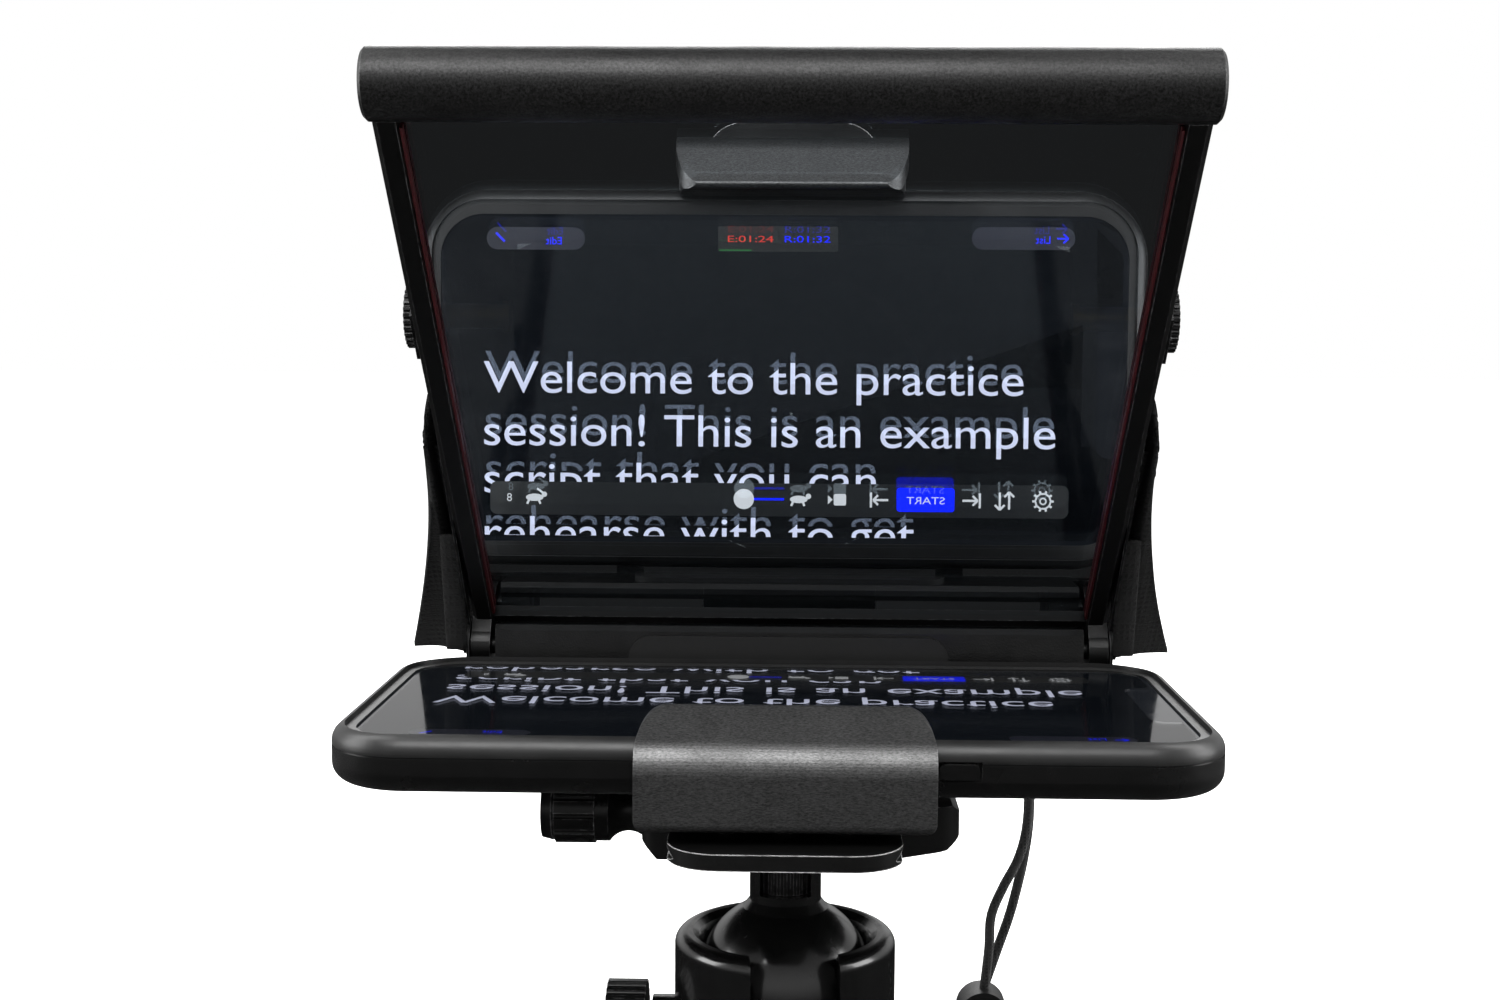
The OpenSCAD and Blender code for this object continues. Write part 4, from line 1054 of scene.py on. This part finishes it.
signs = runner(-57.8, BAR_MID, True) + runner(2.0, BAR_MID, False)
signs += [rounded(9.9, BAR_MID - 1.3, 12.7, BAR_MID + 1.3, 0.4),
          [(9.7, BAR_MID), (8.6, BAR_MID - 1.0), (8.6, BAR_MID + 1.0)]]
signs += arrow(22.2, BAR_MID, -3.4, 0) + [stroke((18.3, BAR_MID - 1.7), (18.3, BAR_MID + 1.7), 0.5)]
signs += arrow(38.9, BAR_MID, 3.4, 0) + [stroke((42.8, BAR_MID - 1.7), (42.8, BAR_MID + 1.7), 0.5)]
signs += arrow(47.3, BAR_MID - 1.9, 0, 3.9) + arrow(49.4, BAR_MID + 1.9, 0, -3.9)
GEAR = (57.0, BAR_MID)
for k in range(10):
    a, b = math.tau * k / 10, math.tau * (k + 1) / 10
    for r, wide in ((1.75, 0.4), (0.7, 0.35)):
        signs.append(stroke((GEAR[0] + r * math.cos(a), GEAR[1] + r * math.sin(a)),
                            (GEAR[0] + r * math.cos(b), GEAR[1] + r * math.sin(b)), wide))
    signs.append(stroke((GEAR[0] + 1.7 * math.cos(a), GEAR[1] + 1.7 * math.sin(a)),
                        (GEAR[0] + 2.4 * math.cos(a), GEAR[1] + 2.4 * math.sin(a)), 0.5))
prism("control_signs", signs, SIGN_Z, "sign")
prism("start_button", [rounded(24.1, 33.2, 37.1, 38.6, 0.7)], SIGN_Z, "blue")
lettering("start_label", "START", 34.9, BAR_MID + 0.85, 1.7, "sign", SIGN_Z + 0.006, mirrored=True, wide=8.6)


# ---------------------------------------------------------------- floor, light and background
FLOOR_AT = cad_box[0][2] / MM - 0.3
FLOOR_REACH = 6000
floor = mesh_object("floor", [(-FLOOR_REACH, -FLOOR_REACH, FLOOR_AT), (FLOOR_REACH, -FLOOR_REACH, FLOOR_AT),
                              (FLOOR_REACH, FLOOR_REACH, FLOOR_AT), (-FLOOR_REACH, FLOOR_REACH, FLOOR_AT)],
                    [(0, 1, 2, 3)], False)
pale = Nodes("floor")
pale.bsdf.inputs["Base Color"].default_value = (0.86, 0.86, 0.86, 1)
pale.bsdf.inputs["Roughness"].default_value = 0.9
pale.bsdf.inputs["Specular IOR Level"].default_value = 0.1
to_camera = pale.add("ShaderNodeLightPath").outputs["Is Camera Ray"]
pale.bsdf.inputs["Emission Color"].default_value = (1, 1, 1, 1)
pale.wire(pale.math("MULTIPLY", to_camera, 0.85), pale.bsdf.inputs["Emission Strength"])
dress(floor, pale.mat)
floor.visible_glossy = False


def softbox(name, at, aim, wide, tall, power):
    """Area light at a point in millimetres, turned towards aim."""
    light = bpy.data.lights.new(name, "AREA")
    light.shape = "RECTANGLE"
    light.size = wide * MM
    light.size_y = tall * MM
    light.energy = power
    made = link(bpy.data.objects.new(name, light))
    made.location = Vector(at) * MM
    made.rotation_euler = (Vector(aim) - Vector(at)).to_track_quat("-Z", "Y").to_euler()
    return made


softbox("key_light", (-80, -520, 760), (0, 0, 130), 620, 420, 8.0)
softbox("left_light", (-760, -60, 330), (0, 20, 110), 380, 520, 4.0)
softbox("right_light", (760, -40, 330), (0, 20, 110), 380, 520, 4.0)
softbox("back_light", (0, 760, 620), (0, 60, 130), 800, 420, 6.0)
softbox("top_left_light", (-520, 80, 760), (0, 40, 100), 260, 620, 4.0)
softbox("top_right_light", (520, 80, 760), (0, 40, 100), 260, 620, 4.0)

world = bpy.data.worlds.new("studio")
bpy.context.scene.world = world
world.use_nodes = True
sky = world.node_tree
backdrop = sky.nodes["Background"]
backdrop.inputs["Color"].default_value = (1, 1, 1, 1)
path = sky.nodes.new("ShaderNodeLightPath")
direction = sky.nodes.new("ShaderNodeTexCoord")
split = sky.nodes.new("ShaderNodeSeparateXYZ")
sky.links.new(direction.outputs["Generated"], split.inputs[0])


def sky_ramp(source, low, high, low_at, high_at):
    """low to high as source goes from low_at to high_at."""
    node = sky.nodes.new("ShaderNodeMapRange")
    sky.links.new(source, node.inputs["Value"])
    for key, value in (("From Min", low_at), ("From Max", high_at), ("To Min", low), ("To Max", high)):
        node.inputs[key].default_value = value
    return node.outputs["Result"]


def sky_choice(chosen, first, second):
    """first, or second where chosen is 1."""
    node = sky.nodes.new("ShaderNodeMix")
    node.data_type = "FLOAT"
    sky.links.new(path.outputs[chosen], node.inputs[0])
    sky.links.new(first, node.inputs[2])
    if isinstance(second, float):
        node.inputs[3].default_value = second
    else:
        sky.links.new(second, node.inputs[3])
    return node.outputs[0]


# Soft light all round; what shines mirrors a bright horizon, a dim ceiling and dark ground.
ambient = sky_ramp(split.outputs["Z"], 0.06, 0.4, -0.2, 0.6)
shine = sky.nodes.new("ShaderNodeMath")
shine.operation = "MINIMUM"
sky.links.new(sky_ramp(split.outputs["Z"], 0.015, 0.7, -0.22, 0.16), shine.inputs[0])
sky.links.new(sky_ramp(split.outputs["Z"], 0.7, 0.2, 0.3, 0.8), shine.inputs[1])
strength = sky_choice("Is Camera Ray", sky_choice("Is Glossy Ray", ambient, shine.outputs[0]), 1.0)
sky.links.new(strength, backdrop.inputs["Strength"])

bpy.context.scene.view_settings.view_transform = "Standard"
